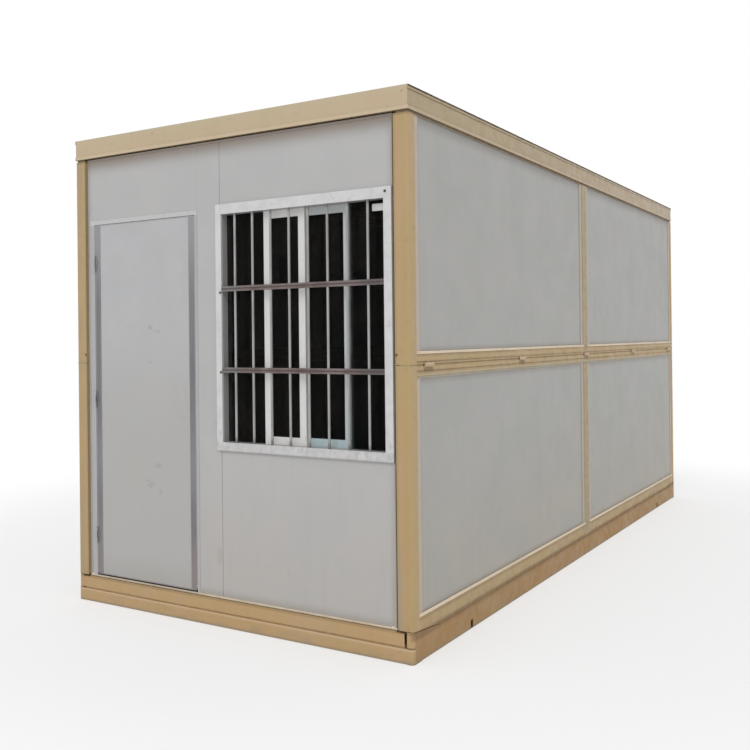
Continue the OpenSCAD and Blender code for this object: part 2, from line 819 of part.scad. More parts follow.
module rear_wall_bottom_track() { color("linen") mirror([0, 1, 0]) bottom_track(); }
module rear_wall_edge_tracks() { color("silver") mirror([0, 1, 0]) edge_tracks(); }

module rear_wall_left_panel() {
    color("gainsboro") mirror([0, 1, 0]) {
        front_slab(-end_panel_x, -joint_gap / 2, end_d0, end_d1, end_panel_z0, end_panel_z1);
        front_slab(-joint_gap / 2 - 1, tongue_w, end_d0 + 15, end_d1 - 15, end_panel_z0, end_panel_z1);
    }
}

module rear_wall_right_panel() {
    color("gainsboro") mirror([0, 1, 0]) difference() {
        front_slab(joint_gap / 2, end_panel_x, end_d0, end_d1, end_panel_z0, end_panel_z1);
        front_slab(0, tongue_w + slack, end_d0 + 15 - slack, end_d1 - 15 + slack, end_z0, end_z1);
    }
}

// ---- door -------------------------------------------------------------------

// Knuckles of the door hinges with a leaf on the face beside them; offsets count knuckles from the middle
module door_knuckles(offsets, leaf_side, face_d) {
    for (z = door_hinge_zs, k = offsets)
        translate([door_pivot_x, door_pivot_d - end_y, z + k * (door_knuckle_l + 1) - door_knuckle_l / 2]) {
            cylinder(r = door_barrel_r, h = door_knuckle_l);
            translate([leaf_side > 0 ? 0 : -door_leaf_w, face_d - door_pivot_d - 3, 0])
                cube([door_leaf_w, 3, door_knuckle_l]);
        }
}

module door_hinge_bores() {
    for (z = door_hinge_zs)
        translate([door_pivot_x, door_pivot_d - end_y, z - 2 * door_knuckle_l])
            cylinder(r = door_pin_r + pin_slack, h = 4 * door_knuckle_l);
}

// Casing lining the doorway: two uprights and a head, with the fixed knuckles on the hinge side
module door_casing() {
    d0 = end_d0 - track_wall;
    d1 = end_d1 + track_wall;
    z0 = end_z0 + bottom_track_h + slack;
    color("silver") {
        difference() {
            union() {
                front_slab(doorway_x0 + slack, door_x0 - door_gap, d0, d1, z0, doorway_z1 - slack);
                door_knuckles([-1, 1], -1, d0);
            }
            door_hinge_bores();
        }
        front_slab(doorway_x1 - casing_latch_w, doorway_x1 - slack, d0, d1, z0, doorway_z1 - slack);
        front_slab(door_x0 - door_gap + slack, doorway_x1 - casing_latch_w - slack, d0, d1,
                   door_z1 + door_gap, doorway_z1 - slack);
    }
}

module door_hinge_pins() {
    color("silver") for (z = door_hinge_zs)
        translate([door_pivot_x, door_pivot_d - end_y, z - 1.5 * door_knuckle_l - 1])
            cylinder(r = door_pin_r, h = 3 * door_knuckle_l + 2);
}

module door_panel() {
    color("gainsboro") front_slab(door_x0 + door_edging_t + slack, door_x1 - door_edging_t - slack,
                                  end_d0, end_d0 + door_t, door_z0, door_z1);
}

// Aluminium edging on the two upright edges of the leaf
module door_edge(width_seen) {
    difference() {
        square([width_seen, door_t + 2 * (door_edging_t + slack)]);
        translate([door_edging_t, door_edging_t]) square([width_seen, door_t + 2 * slack]);
    }
}

module door_edging() {
    color("darkgray") {
        difference() {
            union() {
                up_front(door_z0, door_z1) translate([door_x0, door_face_d]) door_edge(door_edging_w);
                door_knuckles([0], 1, door_face_d);
            }
            door_hinge_bores();
        }
        up_front(door_z0, door_z1) translate([door_x1, door_face_d]) mirror([1, 0, 0]) door_edge(door_edging_w);
    }
}

// ---- window ---------------------------------------------------------------------

// A rectangular frame in the front wall, of four sides with mitred ends; the widths are those of its
// left, right, bottom and top side
module mitred_frame(x0, x1, z0, z1, widths, d0, d1) {
    cut = weld_gap / 2;
    in_x0 = x0 + widths[0];
    in_x1 = x1 - widths[1];
    in_z0 = z0 + widths[2];
    in_z1 = z1 - widths[3];
    for (side = [0:3]) translate([0, d1 - end_y, 0]) rotate([90, 0, 0]) linear_extrude(d1 - d0) polygon(
        side == 0 ? [[x0 + cut, z0], [x1 - cut, z0], [in_x1 - cut, in_z0], [in_x0 + cut, in_z0]] :
        side == 1 ? [[x1, z0 + cut], [x1, z1 - cut], [in_x1, in_z1 - cut], [in_x1, in_z0 + cut]] :
        side == 2 ? [[x1 - cut, z1], [x0 + cut, z1], [in_x0 + cut, in_z1], [in_x1 - cut, in_z1]] :
                    [[x0, z1 - cut], [x0, z0 + cut], [in_x0, in_z0 + cut], [in_x0, in_z1 - cut]]);
}

module window_lining() {
    color("silver") mitred_frame(light_x0 - lining_t, light_x1 + lining_t,
                                 light_z0 - lining_t, light_z1 + lining_t,
                                 [lining_t, lining_t, lining_t, lining_t], end_d0 + slack, end_d1 + lining_out);
}

module grille_frame() {
    color("whitesmoke") mitred_frame(window_x0, window_x1, window_z0, window_z1,
                                     [grille_left_w, grille_right_w, grille_bottom_h, grille_top_h], 0, end_d0);
}

// A sash: stiles and rails round an opening
module sash(x0, x1, left_stile_w, d0) {
    d1 = d0 + sash_t;
    difference() {
        front_slab(x0, x1, d0, d1, light_z0 + slack, light_z1 - slack);
        front_slab(x0 + left_stile_w, x1 - sash_stile_w, d0 - 1, d1 + 1,
                   light_z0 + sash_rail_w, light_z1 - sash_rail_w);
    }
}

module window_left_sash() {
    color("whitesmoke") sash(sash_x0, outer_sash_x1, sash_stile_w, sash_inset);
}

module window_right_sash() {
    color("whitesmoke") sash(inner_sash_x0, sash_x1, meeting_stile_w, inner_sash_inset);
}

// The pane that a sash holds
module sash_pane(x0, x1, left_stile_w, d0) {
    d_glass = d0 + sash_t / 2 - glass_t / 2;
    front_slab(x0 + left_stile_w + slack, x1 - sash_stile_w - slack, d_glass, d_glass + glass_t,
               light_z0 + sash_rail_w + slack, light_z1 - sash_rail_w - slack);
}

// Fixed lights at the sides, in the plane of the outer sash, and a pane in each sash
module window_glass() {
    d0 = sash_inset + sash_t / 2 - glass_t / 2;
    d1 = d0 + glass_t;
    color("darkslategray", 0.5) {
        front_slab(light_x0 + slack, sash_x0 - slack, d0, d1, light_z0 + slack, light_z1 - slack);
        front_slab(sash_x1 + slack, light_x1 - slack, d0, d1, light_z0 + slack, light_z1 - slack);
        sash_pane(sash_x0, outer_sash_x1, sash_stile_w, sash_inset);
        sash_pane(inner_sash_x0, sash_x1, meeting_stile_w, inner_sash_inset);
    }
}

// Upright round bars through two grooved cross bars
module security_bars() {
    color("gray") {
        for (x = spread(light_x0 + bar_side_gap, light_x1 - bar_side_gap, bar_count))
            translate([x, bar_r - end_y, light_z0 + slack])
                cylinder(r = bar_r, h = light_z1 - light_z0 - 2 * slack);
        for (k = [1:crossbar_count])
            along_front(light_x0 + slack, light_x1 - slack)
                translate([0, window_z0 + k * crossbar_pitch - crossbar_h / 2]) difference() {
                    square([crossbar_d, crossbar_h]);
                    translate([-1, crossbar_h / 2 - 3]) square([3, 6]);
                }
    }
}

base_side_beams();
base_end_beams();
floor_joists();
floor_boards();
base_seals();
right_lower_frame();
right_lower_panels();
right_upper_frame();
right_upper_panels();
right_fold_pins();
left_lower_frame();
left_lower_panels();
left_upper_frame();
left_upper_panels();
left_fold_pins();
roof_seals();
roof_side_beams();
roof_end_beams();
roof_purlins();
roof_panels();
front_hinge_brackets();
rear_hinge_brackets();
front_wall_outer_panel();
front_wall_over_door_panel();
front_wall_middle_panel();
front_wall_window_panel();
front_wall_bottom_track();
front_wall_edge_tracks();
front_wall_hinge_leaves();
door_casing();
door_hinge_pins();
door_panel();
door_edging();
window_lining();
window_left_sash();
window_right_sash();
window_glass();
grille_frame();
security_bars();
rear_wall_left_panel();
rear_wall_right_panel();
rear_wall_bottom_track();
rear_wall_edge_tracks();
rear_wall_hinge_leaves();
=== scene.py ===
import json
from math import radians
import bpy
from mathutils import Matrix, Vector


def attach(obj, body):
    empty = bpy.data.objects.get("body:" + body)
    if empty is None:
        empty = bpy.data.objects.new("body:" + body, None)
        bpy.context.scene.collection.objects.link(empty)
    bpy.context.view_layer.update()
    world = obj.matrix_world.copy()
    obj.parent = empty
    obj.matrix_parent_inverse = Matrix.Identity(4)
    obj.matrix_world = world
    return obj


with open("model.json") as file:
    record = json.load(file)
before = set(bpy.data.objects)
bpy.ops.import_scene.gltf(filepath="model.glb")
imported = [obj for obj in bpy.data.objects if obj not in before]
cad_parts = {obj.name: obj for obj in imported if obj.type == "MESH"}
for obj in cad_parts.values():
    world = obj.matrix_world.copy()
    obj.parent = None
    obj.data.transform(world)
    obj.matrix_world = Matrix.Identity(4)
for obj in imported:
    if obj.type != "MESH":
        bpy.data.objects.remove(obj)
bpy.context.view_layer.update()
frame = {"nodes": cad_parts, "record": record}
scene = bpy.context.scene
scene.view_settings.view_transform = "Standard"

# camera, floor and light

view = {
    "place": (3.1768, -6.2305, 1.5247),   # eye height, about 4 m off the near corner
    "turn": (90.199, 0.6128, 31.2208),    # degrees, with a slight roll
    "lens": 43.815,
    "shiftY": -0.0547,
}


def addCamera():
    bpy.ops.object.camera_add(location=view["place"], rotation=[radians(a) for a in view["turn"]])
    camera = bpy.context.object
    camera.data.lens = view["lens"]
    camera.data.sensor_width = 36
    camera.data.shift_y = view["shiftY"]
    camera.data.clip_end = 200
    scene.camera = camera


addCamera()
print("camera ready")

light = {
    "skyColour": (0.985, 0.99, 1.0, 1),
    "skyStrength": 0.74,
    "sunStrength": 0.95,
    "sunAngle": 35,                # degrees, a wide soft sun
    "sunTurn": (46, 0, 24),
    "floorColour": (0.93, 0.93, 0.93, 1),
    "floorGlow": 0.42,             # how far the floor is lifted to white where the camera sees it
    "fadeStart": 3.2,              # metres from the middle, where the floor turns white
    "fadeEnd": 5.5,
}


def addNode(tree, kind, **sockets):
    node = tree.nodes.new(kind)
    for name, value in sockets.items():
        node.inputs[name.replace("_", " ")].default_value = value
    return node


def mathNode(tree, operation, *values):
    node = tree.nodes.new("ShaderNodeMath")
    node.operation = operation
    for socket, value in zip(node.inputs, values):
        if isinstance(value, bpy.types.NodeSocket):
            tree.links.new(value, socket)
        else:
            socket.default_value = value
    return node.outputs[0]


def lightWorld():
    world = bpy.data.worlds.new("plainSky")
    scene.world = world
    world.use_nodes = True
    tree = world.node_tree
    tree.nodes.clear()
    sky = addNode(tree, "ShaderNodeBackground", Color=light["skyColour"],
                  Strength=light["skyStrength"])
    white = addNode(tree, "ShaderNodeBackground", Color=(1, 1, 1, 1), Strength=1)
    path = tree.nodes.new("ShaderNodeLightPath")
    seen = mathNode(tree, "MAXIMUM", path.outputs["Is Camera Ray"], path.outputs["Is Glossy Ray"])
    seen = mathNode(tree, "MAXIMUM", seen, path.outputs["Is Transmission Ray"])
    mix = tree.nodes.new("ShaderNodeMixShader")
    out = tree.nodes.new("ShaderNodeOutputWorld")
    tree.links.new(seen, mix.inputs[0])
    tree.links.new(sky.outputs[0], mix.inputs[1])
    tree.links.new(white.outputs[0], mix.inputs[2])
    tree.links.new(mix.outputs[0], out.inputs[0])


def addSun():
    bpy.ops.object.light_add(type="SUN", rotation=[radians(a) for a in light["sunTurn"]])
    sun = bpy.context.object
    sun.data.energy = light["sunStrength"]
    sun.data.angle = radians(light["sunAngle"])


def addFloor():
    bpy.ops.mesh.primitive_plane_add(size=120, location=(0, 0, 0))
    floor = bpy.context.object
    floor.name = "studioFloor"
    paint = bpy.data.materials.new("floorPaint")
    paint.use_nodes = True
    tree = paint.node_tree
    matt = tree.nodes["Principled BSDF"]
    matt.inputs["Base Color"].default_value = light["floorColour"]
    matt.inputs["Roughness"].default_value = 0.9
    matt.inputs["Specular IOR Level"].default_value = 0.1
    glow = addNode(tree, "ShaderNodeEmission", Color=(1, 1, 1, 1), Strength=1)
    path = tree.nodes.new("ShaderNodeLightPath")
    coords = tree.nodes.new("ShaderNodeTexCoord")
    far = tree.nodes.new("ShaderNodeVectorMath")
    far.operation = "LENGTH"
    tree.links.new(coords.outputs["Object"], far.inputs[0])
    fade = tree.nodes.new("ShaderNodeMapRange")
    fade.interpolation_type = "SMOOTHSTEP"
    for name, value in (("From Min", light["fadeStart"]), ("From Max", light["fadeEnd"]),
                        ("To Min", light["floorGlow"]), ("To Max", 1)):
        fade.inputs[name].default_value = value
    tree.links.new(far.outputs["Value"], fade.inputs["Value"])
    mix = tree.nodes.new("ShaderNodeMixShader")
    tree.links.new(mathNode(tree, "MULTIPLY", fade.outputs[0], path.outputs["Is Camera Ray"]),
                   mix.inputs[0])
    tree.links.new(matt.outputs[0], mix.inputs[1])
    tree.links.new(glow.outputs[0], mix.inputs[2])
    tree.links.new(mix.outputs[0], tree.nodes["Material Output"].inputs[0])
    floor.data.materials.append(paint)


lightWorld()
addSun()
addFloor()
print("floor and light ready")

# mixing a finish: every mask runs from 0 to 1 and reads Object coordinates, in metres


def rgb(red, green, blue):
    return [((c / 255 + 0.055) / 1.055) ** 2.4 for c in (red, green, blue)] + [1]


def newFinish(name, **sockets):
    material = bpy.data.materials.new(name)
    material.use_nodes = True
    tree = material.node_tree
    shader = tree.nodes["Principled BSDF"]
    for socket, value in sockets.items():
        shader.inputs[socket.replace("_", " ")].default_value = value
    coords = tree.nodes.new("ShaderNodeTexCoord").outputs["Object"]
    split = tree.nodes.new("ShaderNodeSeparateXYZ")
    tree.links.new(coords, split.inputs[0])
    finish = {"material": material, "tree": tree, "shader": shader, "coords": coords, "heights": []}
    for axis, socket in zip("xyz", split.outputs):
        finish[axis] = socket
    finish["out"] = mathNode(tree, "ABSOLUTE", finish["x"])     # how far out to a long side
    finish["end"] = mathNode(tree, "ABSOLUTE", finish["y"])     # how far to the front or rear
    return finish


def ramp(finish, value, low, high, least=0.0, most=1.0):
    node = finish["tree"].nodes.new("ShaderNodeMapRange")
    node.interpolation_type = "SMOOTHSTEP"
    finish["tree"].links.new(value, node.inputs["Value"])
    for name, number in (("From Min", low), ("From Max", high), ("To Min", least),
                         ("To Max", most)):
        node.inputs[name].default_value = number
    return node.outputs[0]


def both(finish, *masks):
    total = masks[0]
    for mask in masks[1:]:
        total = mathNode(finish["tree"], "MULTIPLY", total, mask)
    return total


def either(finish, *masks):
    total = masks[0]
    for mask in masks[1:]:
        total = mathNode(finish["tree"], "MAXIMUM", total, mask)
    return total


def between(finish, value, low, high, soft=0.0015):
    return both(finish, ramp(finish, value, low - soft, low + soft),
                ramp(finish, value, high + soft, high - soft))


def placed(finish, stretch, size):
    node = finish["tree"].nodes.new("ShaderNodeMapping")
    node.inputs["Scale"].default_value = [1 / (size * s) for s in stretch]
    finish["tree"].links.new(finish["coords"], node.inputs["Vector"])
    return node.outputs[0]


def cloud(finish, size, low=0.4, high=0.6, stretch=(1, 1, 1), detail=4.0):
    node = addNode(finish["tree"], "ShaderNodeTexNoise", Scale=1, Detail=detail, Roughness=0.55)
    finish["tree"].links.new(placed(finish, stretch, size), node.inputs["Vector"])
    return ramp(finish, node.outputs["Fac"], low, high)


def specks(finish, size, reach, share, stretch=(1, 1, 1)):
    node = addNode(finish["tree"], "ShaderNodeTexVoronoi", Scale=1)
    finish["tree"].links.new(placed(finish, stretch, size), node.inputs["Vector"])
    split = finish["tree"].nodes.new("ShaderNodeSeparateColor")
    finish["tree"].links.new(node.outputs["Color"], split.inputs[0])
    few = mathNode(finish["tree"], "GREATER_THAN", split.outputs[0], 1 - share)
    return both(finish, few, ramp(finish, node.outputs["Distance"], reach, reach * 0.4))


def spot(finish, place, radius, stretch=(1, 1, 1)):
    node = finish["tree"].nodes.new("ShaderNodeVectorMath")
    node.operation = "DISTANCE"
    finish["tree"].links.new(placed(finish, stretch, 1), node.inputs[0])
    node.inputs[1].default_value = [p / s for p, s in zip(place, stretch)]
    return ramp(finish, node.outputs["Value"], radius, radius * 0.35)


def tint(finish, colour, other, mask, share=None):       # share is how strongly the mask shows
    if share is not None:
        mask = mathNode(finish["tree"], "MULTIPLY", mask, share)
    node = finish["tree"].nodes.new("ShaderNodeMix")
    node.data_type = "RGBA"
    finish["tree"].links.new(mask, node.inputs[0])
    for socket, value in ((node.inputs[6], colour), (node.inputs[7], other)):
        if isinstance(value, bpy.types.NodeSocket):
            finish["tree"].links.new(value, socket)
        else:
            socket.default_value = value
    return node.outputs[2]


def addHeight(finish, mask, metres):
    finish["heights"].append(mathNode(finish["tree"], "MULTIPLY", mask, metres))


def closeFinish(finish, colour, roughness):
    tree, shader = finish["tree"], finish["shader"]
    tree.links.new(colour, shader.inputs["Base Color"])
    tree.links.new(roughness, shader.inputs["Roughness"])
    total = finish["heights"][0]
    for height in finish["heights"][1:]:
        total = mathNode(tree, "ADD", total, height)
    bump = addNode(tree, "ShaderNodeBump", Strength=1.0, Distance=1.0)
    tree.links.new(total, bump.inputs["Height"])
    tree.links.new(bump.outputs[0], shader.inputs["Normal"])
    return finish["material"]


# sheet skins of the panels and the door

skin = {
    # the long sides take the end walls' sheet painted darker, a painted shade for the sides that
    # get less light
    "side": rgb(171, 170, 167),
    "sideLow": rgb(172, 168, 160),
    "end": rgb(180, 179, 178),
    "endLow": rgb(178, 174, 170),
    "door": rgb(180, 180, 181),
    "doorLow": rgb(173, 171, 168),
    "grime": rgb(120, 108, 92),
    "edge": rgb(128, 112, 94),
    "smudge": rgb(140, 134, 130),
    "inside": rgb(196, 196, 194),
}


def skinRelief(finish):
    addHeight(finish, cloud(finish, 0.45, 0.3, 0.7, detail=2), 0.0016)   # the sheet's slow waves
    addHeight(finish, cloud(finish, 0.006, 0.3, 0.7, detail=1), 0.000012)  # fine coating


def sidePanelFinish():
    f = newFinish("coatedSideSheet", IOR=1.45, Specular_IOR_Level=0.35)
    # painted shade: the long sides' sheet is a darker copy of the end sheet
    colour = tint(f, skin["side"], skin["sideLow"], ramp(f, f["z"], 1.1, 0.3))
    colour = tint(f, colour, rgb(160, 162, 158), cloud(f, 0.35), 0.30)
    colour = tint(f, colour, rgb(178, 172, 166), cloud(f, 0.11, 0.45, 0.7), 0.22)
    streaks = both(f, cloud(f, 0.09, 0.5, 0.8, (1, 1, 7), 2), ramp(f, f["z"], 2.57, 2.1))
    colour = tint(f, colour, skin["grime"], streaks, 0.05)
    # painted shade along the panel edges beside the frame, mixed with dirt
    rim = either(f, between(f, f["z"], 0.20, 0.236, 0.02), between(f, f["z"], 1.30, 1.34, 0.012),
                 between(f, f["z"], 1.43, 1.475, 0.01), between(f, f["end"], 2.415, 2.48, 0.012),
                 between(f, f["end"], 0.04, 0.104, 0.012))
    colour = tint(f, colour, skin["edge"], rim, 0.22)
    # painted shade under the roof beam
    under = ramp(f, f["z"], 2.50, 2.575)
    colour = tint(f, colour, rgb(122, 114, 106), under, 0.55)
    marks = specks(f, 0.16, 0.05, 0.25)
    colour = tint(f, colour, skin["grime"], marks, 0.35)
    room = ramp(f, f["out"], 1.072, 1.068)
    colour = tint(f, colour, skin["inside"], room)
    skinRelief(f)
    return closeFinish(f, colour, ramp(f, cloud(f, 0.2), 0, 1, 0.52, 0.62))


def endPanelFinish():
    f = newFinish("coatedEndSheet", IOR=1.45, Specular_IOR_Level=0.35)
    colour = tint(f, skin["end"], skin["endLow"], ramp(f, f["z"], 1.0, 0.3))
    colour = tint(f, colour, rgb(172, 173, 173), cloud(f, 0.30), 0.35)
    colour = tint(f, colour, rgb(184, 178, 174), cloud(f, 0.09, 0.45, 0.7), 0.20)
    colour = tint(f, colour, skin["edge"], ramp(f, f["z"], 0.21, 0.155), 0.35)
    shade = ramp(f, f["z"], 2.44, 2.57)
    under = both(f, shade, shade)                 # squared, so the shade gathers under the beam
    colour = tint(f, colour, rgb(120, 104, 88), under, 0.75)
    # painted shade beside the posts, stronger towards the bottom
    sides = ramp(f, f["out"], 0.990, 1.03)
    colour = tint(f, colour, rgb(146, 138, 128),
                  both(f, sides, ramp(f, f["z"], 0.9, 0.3, 0.4, 0.9)), 0.6)
    near = ramp(f, f["y"], 0, -1)
    drips = either(f, spot(f, (-0.048, -2.518, 0.368), 0.03, (1, 1, 2)),
                   spot(f, (-0.071, -2.518, 1.074), 0.012))
    colour = tint(f, colour, skin["smudge"], both(f, drips, near), 0.22)
    streaks = both(f, cloud(f, 0.07, 0.5, 0.8, (1, 1, 8), 2), ramp(f, f["z"], 2.5, 1.6))
    colour = tint(f, colour, skin["grime"], streaks, 0.05)
    colour = tint(f, colour, skin["grime"], specks(f, 0.2, 0.04, 0.3), 0.3)
    room = both(f, ramp(f, f["end"], 2.474, 2.470), ramp(f, f["z"], 0.15, 0.16))
    colour = tint(f, colour, skin["inside"], room)
    skinRelief(f)
    return closeFinish(f, colour, ramp(f, cloud(f, 0.2), 0, 1, 0.50, 0.60))


doorMarks = (                                 # x, z, reach and stretch of each smudge
    (-0.543, 1.595, 0.022, (1, 1, 1)), (-0.490, 1.568, 0.016, (1.6, 1, 1)),
    (-0.542, 1.399, 0.014, (1, 1, 1)),
    (-0.496, 0.824, 0.026, (1.8, 1, 1)), (-0.574, 0.727, 0.020, (1, 1, 1)),
    (-0.544, 0.712, 0.024, (1.5, 1, 1)),
    (-0.476, 0.679, 0.018, (1, 1, 1.6)),
)


def doorFinish():
    f = newFinish("coatedDoorSheet", IOR=1.45, Specular_IOR_Level=0.4)
    colour = tint(f, skin["door"], skin["doorLow"], ramp(f, f["z"], 1.75, 0.9))
    colour = tint(f, colour, rgb(172, 173, 174), cloud(f, 0.28), 0.35)
    colour = tint(f, colour, rgb(178, 172, 168), cloud(f, 0.08, 0.45, 0.7), 0.25)
    dabs = either(f, *[spot(f, (x, -2.518, z), reach, stretch)
                       for x, z, reach, stretch in doorMarks])
    colour = tint(f, colour, rgb(112, 104, 98), both(f, dabs, cloud(f, 0.016, 0.35, 0.7)), 0.34)
    hands = both(f, spot(f, (-0.29, -2.518, 1.15), 0.16, (1, 1, 1.6)), cloud(f, 0.03, 0.4, 0.7))
    colour = tint(f, colour, skin["smudge"], hands, 0.12)
    colour = tint(f, colour, skin["grime"], ramp(f, f["z"], 0.33, 0.17), 0.14)
    colour = tint(f, colour, skin["inside"], ramp(f, f["y"], -2.48, -2.476))
    skinRelief(f)
    addHeight(f, dabs, -0.0008)
    return closeFinish(f, colour, ramp(f, cloud(f, 0.2), 0, 1, 0.48, 0.58))


def roofPanelFinish():
    f = newFinish("coatedRoofSheet", IOR=1.45, Specular_IOR_Level=0.35)
    colour = tint(f, rgb(184, 184, 180), rgb(174, 172, 165), cloud(f, 0.4, 0.35, 0.65))
    colour = tint(f, colour, rgb(146, 137, 120), cloud(f, 0.08, 0.45, 0.8), 0.30)
    silt = either(f, ramp(f, f["out"], 0.96, 1.06), ramp(f, f["end"], 2.38, 2.47))
    colour = tint(f, colour, rgb(122, 112, 96), both(f, silt, cloud(f, 0.05, 0.3, 0.6)), 0.55)
    pond = both(f, cloud(f, 0.7, 0.50, 0.60), ramp(f, f["z"], 2.682, 2.680))
    colour = tint(f, colour, rgb(156, 150, 137), pond, 0.30)
    colour = tint(f, colour, rgb(110, 84, 60), specks(f, 0.09, 0.06, 0.3), 0.5)
    colour = tint(f, colour, skin["inside"], ramp(f, f["z"], 2.635, 2.631))
    skinRelief(f)
    return closeFinish(f, colour, ramp(f, cloud(f, 0.15), 0, 1, 0.5, 0.7))


# old satin paint on the steel

paint = {
    "post": rgb(176, 151, 108),
    "postLow": rgb(176, 149, 106),
    "rail": rgb(180, 155, 114),
    "stop": rgb(178, 171, 162),
    "fascia": rgb(190, 171, 142),
    # the long side's tone is the fascia paint made darker, a painted shade
    "fasciaSide": rgb(172, 154, 124),
    "beamFront": rgb(180, 150, 108),
    "beamSide": rgb(163, 129, 85),
    "pink": rgb(190, 158, 132),
    "green": rgb(168, 158, 118),
    "dust": rgb(150, 138, 118),
    # dark brown, used for dirt and for painted shade in grooves, seams and under the beam
    "sootAndShade": rgb(96, 76, 52),
    "rust": rgb(104, 62, 36),
    # pale, used as a painted highlight on lips and ledges
    "paleHighlight": rgb(214, 196, 170),
}


def paintRelief(finish):
    addHeight(finish, cloud(finish, 0.25, 0.3, 0.7), 0.0006)     # rolled sheet, slightly uneven
    addHeight(finish, cloud(finish, 0.005, 0.3, 0.7, detail=1), 0.000018)  # roller marks


def agePaint(finish, colour, rust=0.5, pink=0.25, green=0.22):
    colour = tint(finish, colour, paint["pink"], cloud(finish, 0.16, 0.45, 0.7, (1, 2.5, 2)), pink)
    colour = tint(finish, colour, paint["green"], cloud(finish, 0.21, 0.48, 0.72, (1, 2, 1)), green)
    colour = tint(finish, colour, paint["sootAndShade"], cloud(finish, 0.035, 0.58, 0.8, (1, 2, 1)), 0.20)
    chips = specks(finish, 0.075, 0.075, 0.16)
    colour = tint(finish, colour, paint["rust"], chips, rust)
    addHeight(finish, chips, -0.0004)
    return colour


def framePaintFinish():
    f = newFinish("wallFramePaint", IOR=1.45, Specular_IOR_Level=0.4)
    front = ramp(f, f["end"], 2.516, 2.524)
    colour = tint(f, paint["rail"],
                  tint(f, paint["post"], paint["postLow"], ramp(f, f["z"], 1.6, 0.9)), front)
    colour = agePaint(f, colour, 0.45)
    stops = both(f, between(f, f["out"], 1.113, 1.1212, 0.0005), ramp(f, f["end"], 2.471, 2.4695))
    colour = tint(f, colour, paint["stop"], stops, 0.9)
    nearPost = both(f, stops, ramp(f, f["end"], 2.42, 2.44))
    colour = tint(f, colour, rgb(190, 172, 156), nearPost, 0.7)
    # painted shade on the stops under the fold band
    underFold = both(f, stops, between(f, f["z"], 1.325, 1.338, 0.001))
    colour = tint(f, colour, rgb(160, 150, 130), underFold, 0.8)
    # painted shade on the posts' front faces, along their inner edge
    edgeBand = both(f, ramp(f, f["out"], 1.056, 1.050), front)
    colour = tint(f, colour, rgb(150, 136, 108), edgeBand, 0.55)
    warmBand = both(f, between(f, f["out"], 1.058, 1.076, 0.006), front)
    colour = tint(f, colour, rgb(184, 150, 116),
                  both(f, warmBand, cloud(f, 0.25, 0.3, 0.6, (1, 1, 2))), 0.5)
    worn = both(f, ramp(f, f["z"], 0.70, 0.35), front)
    worn = both(f, worn, ramp(f, f["x"], 0, 0.1), ramp(f, f["out"], 1.086, 1.046))
    colour = tint(f, colour, rgb(160, 146, 126),
                  both(f, worn, cloud(f, 0.02, 0.15, 0.5, (1, 1, 4))), 0.8)
    pale = both(f, ramp(f, f["x"], -1.062, -1.070), front)
    colour = tint(f, colour, paint["dust"], both(f, pale, cloud(f, 0.2, 0.3, 0.6, (1, 1, 2))), 0.35)
    foot = both(f, ramp(f, f["z"], 0.30, 0.13), cloud(f, 0.06, 0.3, 0.7, (1, 2, 1)))
    colour = tint(f, colour, paint["sootAndShade"], foot, 0.14)
    # painted shade at the top of the frame, under the roof beam
    under = ramp(f, f["z"], 2.555, 2.572)
    colour = tint(f, colour, paint["sootAndShade"], under, 0.5)
    rail = ramp(f, f["end"], 2.474, 2.470)
    # painted shade along the rails' rounded lower edge
    sill = both(f, ramp(f, f["z"], 0.156, 0.132), rail)
    colour = tint(f, colour, paint["sootAndShade"], sill, 0.55)
    # painted shadow under the cream beads
    ledge = both(f, between(f, f["z"], 0.192, 0.206, 0.006), rail)
    colour = tint(f, colour, paint["sootAndShade"], ledge, 0.30)
    middle = both(f, ramp(f, f["end"], 0.058, 0.050), ramp(f, f["out"], 1.119, 1.1215))
    colour = tint(f, colour, rgb(162, 146, 118), middle, 0.85)
    # painted shade in the fold band's grooves and seam, made patchy by a cloud
    fold = both(f, either(f, between(f, f["z"], 1.350, 1.367, 0.005),
                          between(f, f["z"], 1.382, 1.396, 0.004),
                          between(f, f["z"], 1.400, 1.411, 0.004),
                          between(f, f["z"], 1.431, 1.443, 0.005)), rail)
    colour = tint(f, colour, paint["sootAndShade"], both(f, fold, cloud(f, 0.09, 0.2, 0.6, (1, 3, 1))),
                  0.30)
    lowLip = both(f, between(f, f["z"], 1.337, 1.348, 0.003), rail)
    colour = tint(f, colour, rgb(176, 166, 140), lowLip, 0.6)
    byHinge = [between(f, f["end"], y - 0.050, y + 0.047, 0.012) for y in (0, 1.1775, 2.355)]
    shadow = both(f, either(f, *byHinge), between(f, f["z"], 1.360, 1.378, 0.006),
                  ramp(f, f["out"], 1.1262, 1.1255))
    colour = tint(f, colour, rgb(98, 74, 50), shadow, 0.55)
    seam = both(f, between(f, f["z"], 1.3862, 1.3955, 0.002), ramp(f, f["end"], 2.4695, 2.4725))
    colour = tint(f, colour, rgb(150, 146, 116), seam, 0.5)
    # painted highlight and worn paint on the hinge knuckles
    knuckles = both(f, ramp(f, f["out"], 1.1262, 1.130), between(f, f["z"], 1.376, 1.404, 0.001))
    colour = tint(f, colour, rgb(216, 182, 156), both(f, knuckles, cloud(f, 0.02, 0.2, 0.6)), 0.7)
    paintRelief(f)
    return closeFinish(f, colour, ramp(f, cloud(f, 0.06), 0, 1, 0.42, 0.60))


